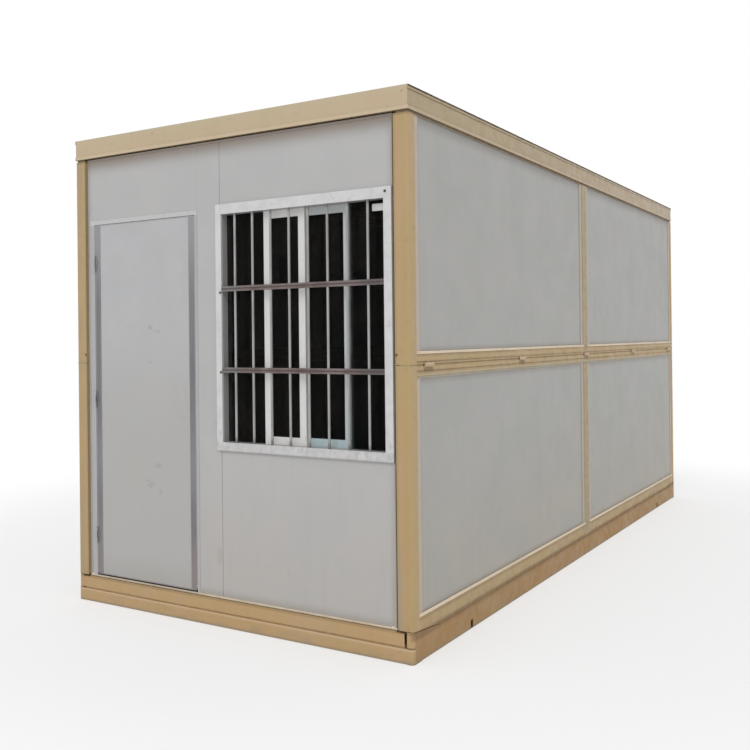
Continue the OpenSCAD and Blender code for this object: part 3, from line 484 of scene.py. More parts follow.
def roofPaintFinish():
    f = newFinish("roofBeamPaint", IOR=1.45, Specular_IOR_Level=0.4)
    side = both(f, ramp(f, f["out"], 1.117, 1.1215), ramp(f, f["end"], 2.5295, 2.5275))
    # painted shade: the long side takes the fascia paint darker
    colour = tint(f, paint["fascia"], paint["fasciaSide"], side)
    colour = agePaint(f, colour, 0.55, 0.16, 0.18)
    high = both(f, ramp(f, f["z"], 2.655, 2.70), ramp(f, side, 1, 0))
    colour = tint(f, colour, rgb(184, 178, 148), high, 0.35)
    # painted shade lines under the lips on the long sides
    lines = either(f, between(f, f["z"], 2.6755, 2.6805, 0.0012),
                   between(f, f["z"], 2.6025, 2.6065, 0.001))
    colour = tint(f, colour, paint["sootAndShade"], both(f, lines, side), 0.38)
    # painted highlight on the beam's lower lip
    lip = both(f, ramp(f, f["z"], 2.604, 2.601), ramp(f, f["z"], 2.584, 2.588))
    colour = tint(f, colour, paint["paleHighlight"], lip, 0.28)
    # painted shade on the beam's lower edge and underside
    shadeUnderFascia = ramp(f, f["z"], 2.5885, 2.5842)
    colour = tint(f, colour, paint["sootAndShade"], shadeUnderFascia, 0.7)
    top = both(f, ramp(f, f["z"], 2.6985, 2.6997), cloud(f, 0.07, 0.35, 0.7))
    colour = tint(f, colour, paint["dust"], top, 0.7)
    faded = both(f, side, ramp(f, f["y"], -2.0, 2.4))
    colour = tint(f, colour, rgb(180, 164, 142), faded, 0.7)
    corner = specks(f, 0.05, 0.13, 0.5)
    nearCorner = both(f, ramp(f, f["end"], 2.40, 2.47), ramp(f, f["out"], 1.05, 1.11))
    colour = tint(f, colour, paint["rust"], both(f, corner, nearCorner), 0.7)
    paintRelief(f)
    return closeFinish(f, colour, ramp(f, cloud(f, 0.06), 0, 1, 0.42, 0.60))


def basePaintFinish():
    f = newFinish("baseBeamPaint", IOR=1.45, Specular_IOR_Level=0.4)
    front = ramp(f, f["end"], 2.505, 2.515)
    colour = tint(f, paint["beamSide"], paint["beamFront"], front)
    colour = agePaint(f, colour, 0.5, 0.20, 0.20)
    lowEdge = ramp(f, f["z"], 0.020, 0.002)
    colour = tint(f, colour, rgb(132, 122, 104), lowEdge, 0.65)
    mud = both(f, ramp(f, f["z"], 0.07, 0.0), cloud(f, 0.05, 0.42, 0.7, (2, 2, 1)))
    colour = tint(f, colour, rgb(138, 128, 112), mud, 0.45)
    # painted shade in the groove along the end beams
    groove = both(f, between(f, f["z"], 0.0715, 0.0785, 0.003), front)
    colour = tint(f, colour, paint["sootAndShade"], groove, 0.75)
    # painted highlight along the ledge
    ledge = both(f, between(f, f["z"], 0.062, 0.071, 0.002), front)
    colour = tint(f, colour, paint["paleHighlight"], ledge, 0.30)
    # painted shade on the side beams' top, under the rails
    seat = both(f, ramp(f, f["z"], 0.098, 0.120), ramp(f, f["out"], 1.10, 1.12))
    colour = tint(f, colour, paint["sootAndShade"], seat, 0.45)
    # painted shade along the end beams' top edge, under the bottom track
    sill = both(f, ramp(f, f["z"], 0.132, 0.140), front)
    colour = tint(f, colour, paint["sootAndShade"], sill, 0.30)
    # painted shade inside the slots, in a rust-brown tone
    slots = both(f, between(f, f["end"], 1.884, 1.916, 0.004),
                 between(f, f["z"], 0.002, 0.050, 0.004))
    colour = tint(f, colour, rgb(96, 56, 34), slots, 0.65)
    scrape = both(f, specks(f, 0.12, 0.12, 0.35, (1, 2.5, 1)), ramp(f, f["z"], 0.075, 0.03))
    colour = tint(f, colour, paint["rust"], both(f, scrape, cloud(f, 0.008, 0.4, 0.6)), 0.45)
    addHeight(f, scrape, -0.0004)
    paintRelief(f)
    return closeFinish(f, colour, ramp(f, cloud(f, 0.06), 0, 1, 0.45, 0.66))


# floor, joists, seals and plated steel


def joistFinish():
    f = newFinish("joistPrimer", Metallic=0.15)
    colour = tint(f, rgb(70, 68, 66), rgb(86, 70, 58), cloud(f, 0.12))
    colour = tint(f, colour, paint["rust"], cloud(f, 0.03, 0.55, 0.7), 0.6)
    addHeight(f, cloud(f, 0.006, 0.4, 0.7), 0.00015)
    return closeFinish(f, colour, ramp(f, cloud(f, 0.05), 0, 1, 0.55, 0.8))


def floorBoardFinish():
    f = newFinish("floorBoards", IOR=1.45)
    grain = cloud(f, 0.006, 0.35, 0.65, (1, 30, 1), 5)
    colour = tint(f, rgb(136, 110, 84), rgb(108, 84, 60), grain)
    colour = tint(f, colour, rgb(152, 130, 104), cloud(f, 0.5), 0.5)
    crossSeams = [between(f, f["y"], y - 0.0015, y + 0.0015, 0.0007) for y in (-1.22, 0, 1.22)]
    seams = either(f, *crossSeams, between(f, f["x"], -0.0015, 0.0015, 0.0007))
    colour = tint(f, colour, rgb(50, 40, 32), seams, 0.85)
    colour = tint(f, colour, rgb(90, 78, 66), cloud(f, 0.12, 0.55, 0.75), 0.5)
    addHeight(f, grain, 0.0002)
    addHeight(f, seams, -0.001)
    return closeFinish(f, colour, ramp(f, cloud(f, 0.08), 0, 1, 0.55, 0.75))


def rubberFinish(name, dark, dusty, dust, dirt=0.3):
    f = newFinish(name, IOR=1.5, Specular_IOR_Level=0.25)
    colour = tint(f, dark, dusty, cloud(f, 0.03, 0.35, 0.7, (1, 2, 1)), dust)
    colour = tint(f, colour, rgb(44, 40, 34), cloud(f, 0.009, 0.5, 0.7), dirt)
    addHeight(f, cloud(f, 0.006, 0.3, 0.7), 0.0002)
    addHeight(f, cloud(f, 0.0012, 0.3, 0.7, detail=1), 0.00003)
    return closeFinish(f, colour, ramp(f, cloud(f, 0.02), 0, 1, 0.7, 0.9))


def zincFinish():
    f = newFinish("zincPlate", Metallic=0.8)
    colour = tint(f, rgb(158, 158, 154), rgb(126, 124, 118), cloud(f, 0.012, 0.3, 0.7))
    colour = tint(f, colour, paint["rust"], cloud(f, 0.006, 0.56, 0.7), 0.6)
    addHeight(f, cloud(f, 0.002, 0.3, 0.7), 0.00005)
    return closeFinish(f, colour, ramp(f, cloud(f, 0.01), 0, 1, 0.38, 0.6))


# aluminium and plastic around the door and window


def creamFinish():
    f = newFinish("creamTrackCoat", IOR=1.45)
    colour = tint(f, rgb(220, 206, 184), rgb(206, 188, 158), cloud(f, 0.05, 0.35, 0.7, (2, 2, 1)))
    colour = tint(f, colour, rgb(176, 158, 128), cloud(f, 0.02, 0.5, 0.75, (3, 3, 1)), 0.5)
    # painted shade along the track's lower edge
    colour = tint(f, colour, paint["sootAndShade"], ramp(f, f["z"], 0.1515, 0.148), 0.5)
    doorway = between(f, f["x"], -1.0, -0.2, 0.01)
    colour = tint(f, colour, rgb(150, 140, 130), doorway, 0.35)
    colour = tint(f, colour, rgb(84, 62, 44), specks(f, 0.06, 0.06, 0.25), 0.6)
    addHeight(f, cloud(f, 0.003, 0.3, 0.7), 0.00005)
    return closeFinish(f, colour, ramp(f, cloud(f, 0.04), 0, 1, 0.4, 0.58))


def beadFinish():
    f = newFinish("creamBeadCoat", IOR=1.45)
    colour = tint(f, rgb(226, 208, 182), rgb(214, 198, 170), cloud(f, 0.12, 0.35, 0.7, (1, 3, 1)))
    colour = tint(f, colour, rgb(178, 156, 124), cloud(f, 0.02, 0.52, 0.78, (1, 3, 1)), 0.45)
    # painted shade on the back of the bead, where it meets the stop
    colour = tint(f, colour, rgb(140, 118, 90), ramp(f, f["out"], 1.1235, 1.1205), 0.5)
    colour = tint(f, colour, rgb(96, 74, 52), specks(f, 0.07, 0.05, 0.25), 0.5)
    addHeight(f, cloud(f, 0.004, 0.3, 0.7), 0.00006)
    return closeFinish(f, colour, ramp(f, cloud(f, 0.04), 0, 1, 0.42, 0.6))


def trimFinish():
    f = newFinish("greyTrimAluminium", IOR=1.45, Metallic=0.1)
    colour = tint(f, rgb(176, 174, 173), rgb(166, 164, 162), cloud(f, 0.09, 0.35, 0.7, (1, 1, 3)))
    colour = tint(f, colour, rgb(172, 166, 160), ramp(f, f["z"], 0.9, 0.3), 0.5)
    # painted shade at the top, under the roof beam
    colour = tint(f, colour, rgb(112, 96, 78), ramp(f, f["z"], 2.50, 2.568), 0.75)
    # painted shade on the edge tracks beside the posts
    edge = ramp(f, f["out"], 1.0225, 1.0330)
    colour = tint(f, colour, rgb(140, 118, 90), edge, 0.85)
    # painted highlight on the door head
    head = both(f, between(f, f["z"], 2.193, 2.222), ramp(f, f["y"], -2.50, -2.51),
                between(f, f["x"], -1.02, -0.18))
    colour = tint(f, colour, rgb(192, 191, 191), head, 0.85)
    frontJamb = both(f, ramp(f, f["z"], 2.192, 2.186), between(f, f["x"], -1.02, -0.18),
                     ramp(f, f["y"], -2.516, -2.519))
    colour = tint(f, colour, rgb(172, 171, 172), frontJamb, 0.8)
    # painted shade on the window's left reveal
    reveal = both(f, ramp(f, f["x"], 0.20, -0.01), between(f, f["z"], 0.97, 2.19),
                  ramp(f, f["x"], -0.02, -0.018))
    colour = tint(f, colour, rgb(168, 166, 166), reveal, 0.5)
    colour = tint(f, colour, rgb(110, 98, 84), cloud(f, 0.02, 0.56, 0.8), 0.3)
    addHeight(f, cloud(f, 0.0015, 0.3, 0.7, (1, 1, 20)), 0.00003)  # lines drawn along the metal
    return closeFinish(f, colour, ramp(f, cloud(f, 0.03), 0, 1, 0.36, 0.5))


def doorEdgeFinish():
    f = newFinish("doorEdgeAluminium", IOR=1.45, Metallic=0.15)
    colour = tint(f, rgb(122, 121, 123), rgb(110, 109, 111), cloud(f, 0.2, 0.35, 0.7, (1, 1, 3)))
    # painted reflection, lighter towards the top of the edging
    colour = tint(f, colour, rgb(160, 160, 163), ramp(f, f["z"], 1.7, 2.15), 0.6)
    colour = tint(f, colour, rgb(142, 128, 124), ramp(f, f["z"], 0.6, 0.25), 0.6)
    colour = tint(f, colour, rgb(150, 150, 153), between(f, f["z"], 0.7, 1.0, 0.2), 0.3)
    middle = either(f, between(f, f["x"], -0.9400, -0.9340, 0.002),
                    between(f, f["x"], -0.2520, -0.2460, 0.002))
    colour = tint(f, colour, rgb(152, 152, 154), middle, 0.45)
    colour = tint(f, colour, rgb(96, 86, 76), cloud(f, 0.018, 0.56, 0.8), 0.35)
    # the hinge barrels are painted lighter, a painted light over their shade
    barrels = ramp(f, f["x"], -0.9714, -0.9722)
    colour = tint(f, colour, rgb(176, 176, 178), barrels, 0.9)
    addHeight(f, cloud(f, 0.0015, 0.3, 0.7, (1, 1, 20)), 0.00003)
    addHeight(f, middle, 0.0003)
    return closeFinish(f, colour, ramp(f, cloud(f, 0.03), 0, 1, 0.34, 0.5))


def whiteFrameFinish():
    f = newFinish("whiteProfile", IOR=1.46, Specular_IOR_Level=0.45)
    colour = tint(f, rgb(207, 206, 206), rgb(198, 197, 197), cloud(f, 0.06, 0.35, 0.7))
    sashes = ramp(f, f["y"], -2.50, -2.49)
    colour = tint(f, colour, rgb(222, 221, 218), sashes, 0.7)
    outerRim = ramp(f, f["x"], 1.0280, 1.0296)            # the frame's narrow side by the post
    colour = tint(f, colour, rgb(172, 166, 162), outerRim, 0.85)
    inner = ramp(f, f["y"], -2.468, -2.4675)
    lower = ramp(f, f["z"], 1.20, 1.0)
    # painted shade on the rear sash, which sits deeper in the frame
    colour = tint(f, colour, rgb(176, 182, 184), inner, 0.75)
    colour = tint(f, colour, rgb(166, 196, 202), both(f, inner, lower), 0.55)
    dirty = both(f, cloud(f, 0.02, 0.5, 0.75, (1, 1, 3)), ramp(f, f["z"], 1.2, 0.95))
    colour = tint(f, colour, rgb(138, 128, 116), dirty, 0.4)
    colour = tint(f, colour, rgb(120, 110, 100), cloud(f, 0.012, 0.6, 0.8), 0.3)
    # painted shadow along the frame's lower edge
    foot = both(f, ramp(f, f["z"], 0.942, 0.934), ramp(f, f["y"], -2.51, -2.517))
    colour = tint(f, colour, rgb(120, 116, 112), foot, 0.4)
    # painted shade and dirt on the frame's bottom member, made patchy by a cloud
    lowRail = both(f, between(f, f["z"], 0.93, 0.979, 0.004), ramp(f, f["y"], -2.51, -2.517))
    colour = tint(f, colour, rgb(160, 158, 156), both(f, lowRail, cloud(f, 0.05, 0.25, 0.6)), 0.35)
    addHeight(f, cloud(f, 0.002, 0.3, 0.7), 0.00003)
    return closeFinish(f, colour, ramp(f, cloud(f, 0.03), 0, 1, 0.3, 0.46))


def glassFinish():
    f = newFinish("windowPane", IOR=1.3, Specular_IOR_Level=0.12)
    film = cloud(f, 0.10, 0.35, 0.75, (1, 1, 2))
    # the pane is painted near black, a painted shade for the dark room behind it
    colour = tint(f, rgb(14, 15, 15), rgb(30, 28, 26), film)
    alpha = ramp(f, film, 0, 1, 0.42, 0.55)
    f["tree"].links.new(alpha, f["shader"].inputs["Alpha"])
    addHeight(f, cloud(f, 0.3, 0.3, 0.7), 0.0002)
    return closeFinish(f, colour, ramp(f, film, 0, 1, 0.04, 0.14))


def barFinish():
    f = newFinish("barSteelPaint", Metallic=0.1)
    colour = tint(f, rgb(168, 167, 165), rgb(150, 148, 145), cloud(f, 0.05, 0.35, 0.7, (1, 1, 4)))
    cross = either(f, between(f, f["z"], 1.346, 1.374, 0.0008),
                   between(f, f["z"], 1.773, 1.801, 0.0008))
    flat = both(f, cross, ramp(f, f["y"], -2.5155, -2.5165))
    mid = either(f, between(f, f["z"], 1.3565, 1.3635, 0.001),
                 between(f, f["z"], 1.7835, 1.7905, 0.001))
    browns = tint(f, rgb(122, 112, 110), rgb(98, 82, 80), cloud(f, 0.05, 0.35, 0.65, (2, 1, 1)))
    browns = tint(f, browns, rgb(118, 118, 120), ramp(f, f["x"], 0.22, 0.02), 0.8)
    browns = tint(f, browns, rgb(84, 82, 84), ramp(f, f["x"], 0.80, 0.90), 0.8)
    browns = tint(f, browns, rgb(58, 44, 40), mid, 0.75)
    colour = tint(f, colour, browns, flat)
    colour = tint(f, colour, paint["rust"], cloud(f, 0.02, 0.58, 0.72, (1, 1, 2)), 0.16)
    joints = either(f, between(f, f["z"], 1.334, 1.386, 0.01),
                    between(f, f["z"], 1.761, 1.813, 0.01))
    colour = tint(f, colour, rgb(104, 88, 78), both(f, joints, cloud(f, 0.01, 0.4, 0.6)), 0.30)
    # painted shade at the bars' ends, where they go into the frame
    ends = either(f, ramp(f, f["z"], 1.02, 0.99), ramp(f, f["z"], 2.15, 2.175))
    colour = tint(f, colour, rgb(64, 56, 52), ends, 0.6)
    addHeight(f, cloud(f, 0.003, 0.35, 0.7), 0.0001)
    return closeFinish(f, colour, ramp(f, cloud(f, 0.02), 0, 1, 0.45, 0.65))


print("mixing finishes")
finishes = {
    "base_paint": basePaintFinish(),
    "roof_paint": roofPaintFinish(),
    "frame_paint": framePaintFinish(),
    "dark_steel": joistFinish(),
    "floor_board": floorBoardFinish(),
    "rubber_seal": rubberFinish("sealRubber", rgb(150, 130, 104), rgb(120, 104, 84), 0.7, 0.15),
    "zinc_steel": zincFinish(),
    "side_panel_skin": sidePanelFinish(),
    "end_panel_skin": endPanelFinish(),
    "roof_panel_skin": roofPanelFinish(),
    "door_skin": doorFinish(),
    "cream_track": creamFinish(),
    "grey_trim": trimFinish(),
    "door_aluminium": doorEdgeFinish(),
    "white_frame": whiteFrameFinish(),
    "window_glass": glassFinish(),
    "bar_steel": barFinish(),
}
slotOf = {p["node"]: p["material_slot"] for p in frame["record"]["subparts"]}
for name, node in frame["nodes"].items():
    node.data.materials.clear()
    node.data.materials.append(finishes[slotOf[name]])
print("finishes on", len(frame["nodes"]), "nodes")

# making the small pieces

smoothAngle = 35                   # degrees; corners sharper than this stay crisp
hair = 0.0001                      # metres of slack when faces and edges are picked by place


def deselect():
    bpy.ops.object.select_all(action="DESELECT")


def block(name, low, high):
    deselect()
    low, high = Vector(low), Vector(high)
    bpy.ops.mesh.primitive_cube_add(size=1, location=(low + high) / 2, scale=high - low)
    piece = bpy.context.object
    piece.name = name
    bpy.ops.object.transform_apply(location=True, rotation=True, scale=True)
    return piece


def rod(name, radius, depth, centre, turn, sides=20):
    deselect()
    bpy.ops.mesh.primitive_cylinder_add(vertices=sides, radius=radius, depth=depth, location=centre,
                                        rotation=[radians(a) for a in turn])
    piece = bpy.context.object
    piece.name = name
    bpy.ops.object.transform_apply(location=True, rotation=True, scale=True)
    return piece


def pickFaces(piece, wanted):
    bpy.ops.object.mode_set(mode="EDIT")
    bpy.ops.mesh.select_mode(type="FACE")
    bpy.ops.mesh.select_all(action="DESELECT")
    bpy.ops.object.mode_set(mode="OBJECT")
    for face in piece.data.polygons:
        face.select = wanted(face.center, face.normal)
    bpy.ops.object.mode_set(mode="EDIT")


def pickEdges(piece, wanted):
    bpy.ops.object.mode_set(mode="EDIT")
    bpy.ops.mesh.select_mode(type="EDGE")
    bpy.ops.mesh.select_all(action="DESELECT")
    bpy.ops.object.mode_set(mode="OBJECT")
    points = piece.data.vertices
    for edge in piece.data.edges:
        a, b = [points[i].co for i in edge.vertices]
        edge.select = wanted(a, b)
    bpy.ops.object.mode_set(mode="EDIT")


def bevelPicked(width, steps=2):
    bpy.ops.mesh.bevel(offset=width, segments=steps, affect="EDGES")
    bpy.ops.object.mode_set(mode="OBJECT")


# the faces go in by depth, with a rim left round them
def sinkFaces(piece, wanted, rim, depth):
    pickFaces(piece, wanted)
    bpy.ops.mesh.inset(thickness=rim, depth=-depth)
    bpy.ops.object.mode_set(mode="OBJECT")


def copyOf(piece, name, move=(0, 0, 0), flip=(1, 1, 1)):
    new = bpy.data.objects.new(name, piece.data.copy())
    scene.collection.objects.link(new)
    new.data.transform(Matrix.Translation(move) @ Matrix.Diagonal((*flip, 1)))
    if flip[0] * flip[1] * flip[2] < 0:
        new.data.flip_normals()
    return new


def atFourCorners(first, name):                          # the first one stands at the right rear
    return [first, copyOf(first, name + "_rightFront", flip=(1, -1, 1)),
            copyOf(first, name + "_leftRear", flip=(-1, 1, 1)),
            copyOf(first, name + "_leftFront", flip=(-1, -1, 1))]


def setDown(pieces, body, material):
    for piece in pieces:
        deselect()
        piece.select_set(True)
        bpy.context.view_layer.objects.active = piece
        bpy.ops.object.shade_smooth_by_angle(angle=radians(smoothAngle))
        piece.data.materials.clear()
        piece.data.materials.append(material)
        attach(piece, body)


# cream beads along the panels, on both long sides

bead = {
    "levels": {"low": (0.2082, 0.2222), "middle": (1.4425, 1.4560)},
    "bay": (0.0465, 2.4692),       # from the middle post to the corner post
    "back": 1.1190,
    "face": 1.1272,
    "round": 0.0035,
    "rim": 0.0018,
    "groove": 0.0011,
}


def addBeads():
    pieces = []
    for level, (low, high) in bead["levels"].items():
        first = block("bead_" + level + "_rightRear", (bead["back"], bead["bay"][0], low),
                      (bead["face"], bead["bay"][1], high))
        pickEdges(first, lambda a, b: min(a.x, b.x) > bead["face"] - hair)
        bevelPicked(bead["round"], 3)
        sinkFaces(first, lambda c, n: n.x > 0.99, bead["rim"], bead["groove"])
        pieces += atFourCorners(first, "bead_" + level)
    setDown(pieces, "house", beadFinish())


# dark sealing strip along the top edge of the roof's long sides

topSeal = {
    "length": 2.5285,
    "depth": (1.1235, 1.1274),
    "height": (2.6920, 2.6996),
    "cuts": 120,
    "round": 0.0014,
    "ripples": 37,                 # per metre
    "wave": 0.0006,
    "lowEdge": 2.2,                # the lower edge wavers this much more
    "mostOut": 0.0004,
}


def addTopSeals():
    strip = block("roofEdgeSeal_right",
                  (topSeal["depth"][0], -topSeal["length"], topSeal["height"][0]),
                  (topSeal["depth"][1], topSeal["length"], topSeal["height"][1]))
    pickEdges(strip, lambda a, b: abs(a.y - b.y) > 1)
    bpy.ops.mesh.subdivide(number_cuts=topSeal["cuts"])
    outer = topSeal["depth"][1]
    pickEdges(strip, lambda a, b: min(a.x, b.x) > outer - hair and abs(a.z - b.z) < hair)
    bevelPicked(topSeal["round"], 2)
    for point in strip.data.vertices:                     # an uneven line, laid by hand
        k = point.co.y * topSeal["ripples"]
        swell = ((k * 0.618) % 1.0 + (k * 0.271) % 1.0 - 1.0) * topSeal["wave"]
        if point.co.z < topSeal["height"][0] + 0.003:
            point.co.z += swell * topSeal["lowEdge"]
        if point.co.x > outer - 0.002:
            point.co.x += min(swell, topSeal["mostOut"])
    setDown([strip, copyOf(strip, "roofEdgeSeal_left", flip=(-1, 1, 1))], "house",
            rubberFinish("roofEdgeMastic", rgb(62, 54, 44), rgb(112, 98, 78), 0.8))


# soft gaskets in the fold of the long sides

gasket = {
    "reach": (1.0700, 1.1238),
    "length": 2.5288,
    "height": (1.38995, 1.39205),
    "rim": 0.0004,
    "groove": 0.0012,
}


def addFoldGaskets():
    strip = block("foldGasket_right", (gasket["reach"][0], -gasket["length"], gasket["height"][0]),
                  (gasket["reach"][1], gasket["length"], gasket["height"][1]))
    sinkFaces(strip, lambda c, n: n.x > 0.9, gasket["rim"], gasket["groove"])
    setDown([strip, copyOf(strip, "foldGasket_left", flip=(-1, 1, 1))], "house",
            rubberFinish("foldGasketFoam", rgb(184, 168, 130), rgb(166, 150, 112), 0.8, 0.1))


# brush seals beside the end walls

brush = {
    "back": (1.0412, 1.0429),      # the holder, on the post
    "tip": 1.0384,
    "depth": (2.4715, 2.5175),     # along the wall's thickness
    "height": (0.162, 2.566),
    "rim": 0.004,                  # of the holder, round the bristles
    "round": 0.0008,
}


def addBrushSeals():
    holder = block("brushSeal_rightRear", (brush["back"][0], brush["depth"][0], brush["height"][0]),
                   (brush["back"][1], brush["depth"][1], brush["height"][1]))
    pickFaces(holder, lambda c, n: n.x < -0.9)
    bpy.ops.mesh.inset(thickness=brush["rim"])
    inward = brush["tip"] - brush["back"][0]
    bpy.ops.mesh.extrude_region_move(TRANSFORM_OT_translate={"value": (inward, 0, 0)})
    bpy.ops.object.mode_set(mode="OBJECT")
    pickEdges(holder, lambda a, b: max(a.x, b.x) < brush["tip"] + 0.0002 and abs(a.z - b.z) > 1)
    bevelPicked(brush["round"], 2)
    setDown(atFourCorners(holder, "brushSeal"), "house",
            rubberFinish("brushPile", rgb(170, 148, 116), rgb(186, 166, 134), 0.8, 0.1))


# rubber strips round the door leaf

doorSeal = {
    "thick": 0.0030,
    "depth": (-2.5196, -2.4800),
    "left": -0.9740,
    "right": -0.2110,
    "height": (0.178, 2.1895),
    "lap": 0.0004,                 # how far the lock side's strip sits over the leaf
    "headEnds": (0.004, 0.001),    # how far the head strip stops short, left and right
    "round": 0.0012,
}


def addDoorSeals():
    y0, y1 = doorSeal["depth"]
    z0, z1 = doorSeal["height"]
    lock = block("doorSeal_lockSide", (doorSeal["right"] - doorSeal["lap"], y0, z0),
                 (doorSeal["right"] + doorSeal["thick"], y1, z1))
    pickEdges(lock, lambda a, b: min(a.x, b.x) > doorSeal["right"] + 0.002 and abs(a.z - b.z) > 1)
    bevelPicked(doorSeal["round"], 2)
    head = block("doorSeal_head", (doorSeal["left"] + doorSeal["headEnds"][0], y0, z1),
                 (doorSeal["right"] - doorSeal["headEnds"][1], y1, z1 + doorSeal["thick"]))
    pickEdges(head, lambda a, b: min(a.z, b.z) > z1 + 0.002 and abs(a.x - b.x) > 0.5)
    bevelPicked(doorSeal["round"], 2)
    setDown([lock, head], "door",
            rubberFinish("doorSealRubber", rgb(176, 175, 176), rgb(160, 158, 158), 0.7, 0.1))


# screws, bolts and plugs

screw = {
    "radius": 0.0068,
    "proud": 0.0028,
    "sunk": 0.002,                 # the part of a head that sits in the metal
    "face": -2.5298,
    "grilleWhite": [(-0.0145, 2.213), (-0.0310, 1.580), (0.0216, 0.956), (0.330, 2.2095),
                    (0.700, 2.2095),
                    (0.480, 0.956), (0.941, 0.949), (1.0080, 1.580), (1.0080, 0.956)],
    "grilleDark": [(0.996, 2.213)],
    "crossBolts": [(-0.0190, 1.7680), (-0.0190, 1.3480)],
    "postBolts": [(1.0500, 1.4400)],
}


def darkScrewFinish(name, colour):
    f = newFinish(name, Metallic=0.3)
    tone = tint(f, colour, paint["rust"], cloud(f, 0.004, 0.45, 0.65), 0.5)
    tone = tint(f, tone, rgb(150, 140, 124), cloud(f, 0.002, 0.6, 0.75), 0.4)
    addHeight(f, cloud(f, 0.0015, 0.3, 0.7), 0.00008)
    return closeFinish(f, tone, ramp(f, cloud(f, 0.003), 0, 1, 0.45, 0.7))


def addScrewHead(name, x, y, z, radius, proud):
    head = rod(name, radius, proud + screw["sunk"], (x, y + (screw["sunk"] - proud) / 2, z),
               (90, 0, 0))
    pickFaces(head, lambda c, n: n.y < -0.9)
    bpy.ops.mesh.inset(thickness=radius * 0.30)
    bpy.ops.mesh.inset(thickness=radius * 0.16, depth=-proud * 0.45)
    bpy.ops.object.mode_set(mode="OBJECT")
    pickEdges(head, lambda a, b: max(a.y, b.y) < y - proud + 0.0002
              and ((a.x - x) ** 2 + (a.z - z) ** 2) ** 0.5 > radius * 0.97)
    bevelPicked(proud * 0.45, 2)
    return head


def addScrews():
    x0, z0 = screw["grilleWhite"][0]
    white = addScrewHead("grillePlug_0", x0, screw["face"], z0, screw["radius"], screw["proud"])

    def copiesAt(name, places, first=0):
        return [copyOf(white, name + "_" + str(i), (x - x0, 0, z - z0))
                for i, (x, z) in enumerate(places) if i >= first]

    whites = [white] + copiesAt("grillePlug", screw["grilleWhite"], 1)
    darks = copiesAt("grilleScrew", screw["grilleDark"])
    bolts = copiesAt("crossBolt", screw["crossBolts"])
    posts = []
    for i, right in enumerate(copiesAt("postBolt_rightFront", screw["postBolts"])):
        posts += [right, copyOf(right, "postBolt_leftFront_" + str(i), flip=(-1, 1, 1))]
    setDown(whites, "front_wall", finishes["white_frame"])
    setDown(darks + bolts, "front_wall",
            darkScrewFinish("screwDark", rgb(70, 64, 60)))
    setDown(posts, "house", darkScrewFinish("postBoltPaint", rgb(120, 100, 74)))


roofScrew = {
    "ribs": [-1.4618, -0.4739, 0.5139, 1.5018],
    "across": [-0.95, -0.57, -0.19, 0.19, 0.57, 0.95],
    "top": 2.6908,
    "washer": 0.011,
    "head": 0.0055,
    "tall": 0.0045,
    "thick": 0.0024,               # of the washer
    "lift": 0.0004,
    "dish": 0.0005,
    "round": 0.0011,
    "sides": 18,
}


def addRoofScrews():
    x0, y0 = roofScrew["across"][0], roofScrew["ribs"][0]
    washer = rod("roofScrew_0_0", roofScrew["washer"], roofScrew["thick"],
                 (x0, y0, roofScrew["top"] + roofScrew["lift"]), (0, 0, 0), roofScrew["sides"])
    pickFaces(washer, lambda c, n: n.z > 0.9)
    bpy.ops.mesh.inset(thickness=roofScrew["washer"] - roofScrew["head"], depth=roofScrew["dish"])
    bpy.ops.mesh.extrude_region_move(TRANSFORM_OT_translate={"value": (0, 0, roofScrew["tall"])})
    bpy.ops.object.mode_set(mode="OBJECT")
    high = max(v.co.z for v in washer.data.vertices)
    pickEdges(washer, lambda a, b: min(a.z, b.z) > high - hair)
    bevelPicked(roofScrew["round"], 2)
    pieces = []
    for i, y in enumerate(roofScrew["ribs"]):
        for j, x in enumerate(roofScrew["across"]):
            pieces.append(washer if i == j == 0 else
                          copyOf(washer, "roofScrew_" + str(i) + "_" + str(j), (x - x0, y - y0, 0)))
    setDown(pieces, "house", finishes["zinc_steel"])


# white cover in front of the pane

windowCover = {
    "low": (0.9040, -2.4950, 2.1285),
    "high": (0.9690, -2.4865, 2.1625),
    "rim": 0.005,
    "sunk": 0.0012,
    "round": 0.003,
}


def addWindowCover():
    cover = block("windowCover", windowCover["low"], windowCover["high"])
    sinkFaces(cover, lambda c, n: n.y < -0.9, windowCover["rim"], windowCover["sunk"])
    pickEdges(cover, lambda a, b: abs(a.y - b.y) > 0.005)
    bevelPicked(windowCover["round"], 3)
    setDown([cover], "front_wall", finishes["white_frame"])


# end plugs of the front wall's bottom track

trackPlug = {
    "low": (1.003, -2.5222, 0.1486),
    "high": (1.0215, -2.5150, 0.1648),
    "round": 0.003,
}


def addTrackPlugs():
    plug = block("trackPlug_right", trackPlug["low"], trackPlug["high"])
    pickEdges(plug, lambda a, b: max(a.y, b.y) < trackPlug["low"][1] + hair)
    bevelPicked(trackPlug["round"], 3)
    plugs = [plug, copyOf(plug, "trackPlug_left", flip=(-1, 1, 1))]
    setDown(plugs, "front_wall", finishes["cream_track"])


# fillers: panel joint, base corners, brush under the door

filler = {
    "joint": ((-0.0298, -2.5162, 0.1600), (-0.0262, -2.4720, 2.5750)),
    "jointSunk": (0.0007, 0.0006),           # rim and depth
    "beamGap": ((-1.0888, -2.5270, 0.0800), (-1.0752, -2.5050, 0.1400)),
    "beamGapSunk": (0.003, 0.002),
    "groove": ((-1.0740, -2.5235, 0.07215), (1.0740, -2.5170, 0.07785)),
    "grooveSunk": (0.0012, 0.0012),
    "shim": ((1.0475, 2.2570, 0.1222), (1.1145, 2.5245, 0.1258)),
    "foot": ((1.1145, 0.0, 0.1222), (1.1185, 2.5245, 0.1286)),
    "slopeStart": 2.2600,                    # where the slope of the base corners begins
    "slope": 0.028 / 0.270,
    "round": 0.0010,
    "doorBrush": ((-0.9660, -2.5165, 0.1645), (-0.2190, -2.4800, 0.1724)),
    "doorBrushRound": 0.0025,
}


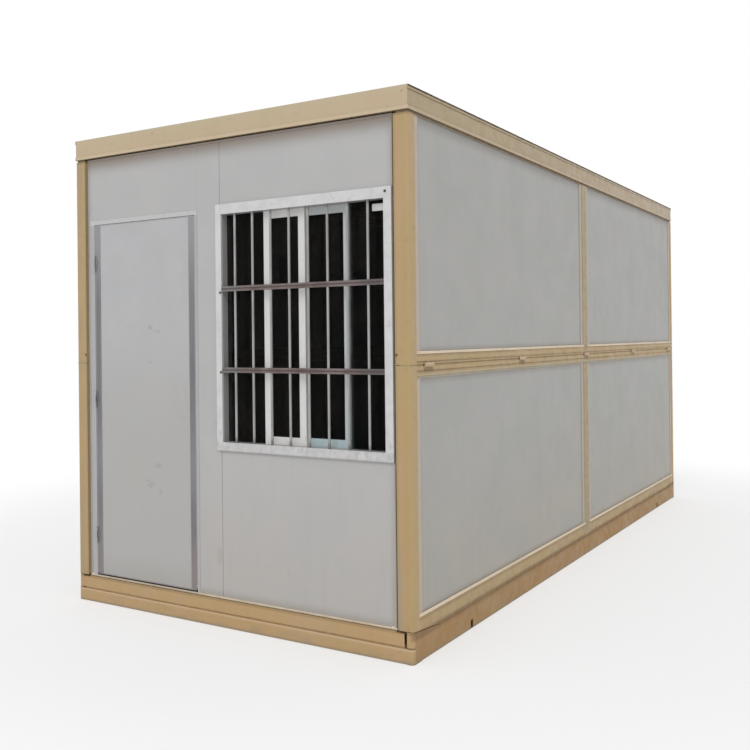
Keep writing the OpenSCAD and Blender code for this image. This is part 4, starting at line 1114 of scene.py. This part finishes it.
def addFillers():
    joint = block("jointStrip", *filler["joint"])
    sinkFaces(joint, lambda c, n: n.y < -0.9, *filler["jointSunk"])
    setDown([joint], "front_wall", finishes["grey_trim"])
    gap = block("baseGapFiller_front", *filler["beamGap"])
    sinkFaces(gap, lambda c, n: n.y < -0.9, *filler["beamGapSunk"])
    setDown([gap, copyOf(gap, "baseGapFiller_rear", flip=(-1, -1, 1))], "house",
            finishes["base_paint"])
    mudMastic = rubberFinish("baseMastic", rgb(186, 152, 108), rgb(164, 134, 96), 0.7, 0.1)
    mastic = block("grooveMastic_front", *filler["groove"])
    sinkFaces(mastic, lambda c, n: n.y < -0.9, *filler["grooveSunk"])
    setDown([mastic, copyOf(mastic, "grooveMastic_rear", flip=(1, -1, 1))], "house",
            mudMastic)
    for name, size, finish in (("cornerShim", filler["shim"], finishes["rubber_seal"]),
                               ("footMastic", filler["foot"], mudMastic)):
        strip = block(name + "_rightRear", *size)
        pickFaces(strip, lambda c, n: True)
        bpy.ops.mesh.bisect(plane_co=(0, filler["slopeStart"], 0), plane_no=(0, 1, 0))
        bpy.ops.object.mode_set(mode="OBJECT")
        for point in strip.data.vertices:                 # the ends follow the slope
            point.co.z += max(0, point.co.y - filler["slopeStart"]) * filler["slope"]
        pickEdges(strip, lambda a, b: min(a.x, b.x) > size[1][0] - hair and abs(a.y - b.y) > 0.1)
        bevelPicked(filler["round"], 2)
        setDown(atFourCorners(strip, name), "house", finish)
    low, high = filler["doorBrush"]
    sweep = block("doorBrush", low, high)
    pickEdges(sweep, lambda a, b: max(a.z, b.z) < low[2] + hair and abs(a.x - b.x) > 0.5)
    bevelPicked(filler["doorBrushRound"], 2)
    setDown([sweep], "door",
            rubberFinish("doorBrushPile", rgb(150, 145, 149), rgb(164, 158, 158), 0.7, 0.1))


addBeads()
addFillers()
addTopSeals()
addFoldGaskets()
addBrushSeals()
addDoorSeals()
addScrews()
addRoofScrews()
addWindowCover()
addTrackPlugs()
print("small pieces ready")
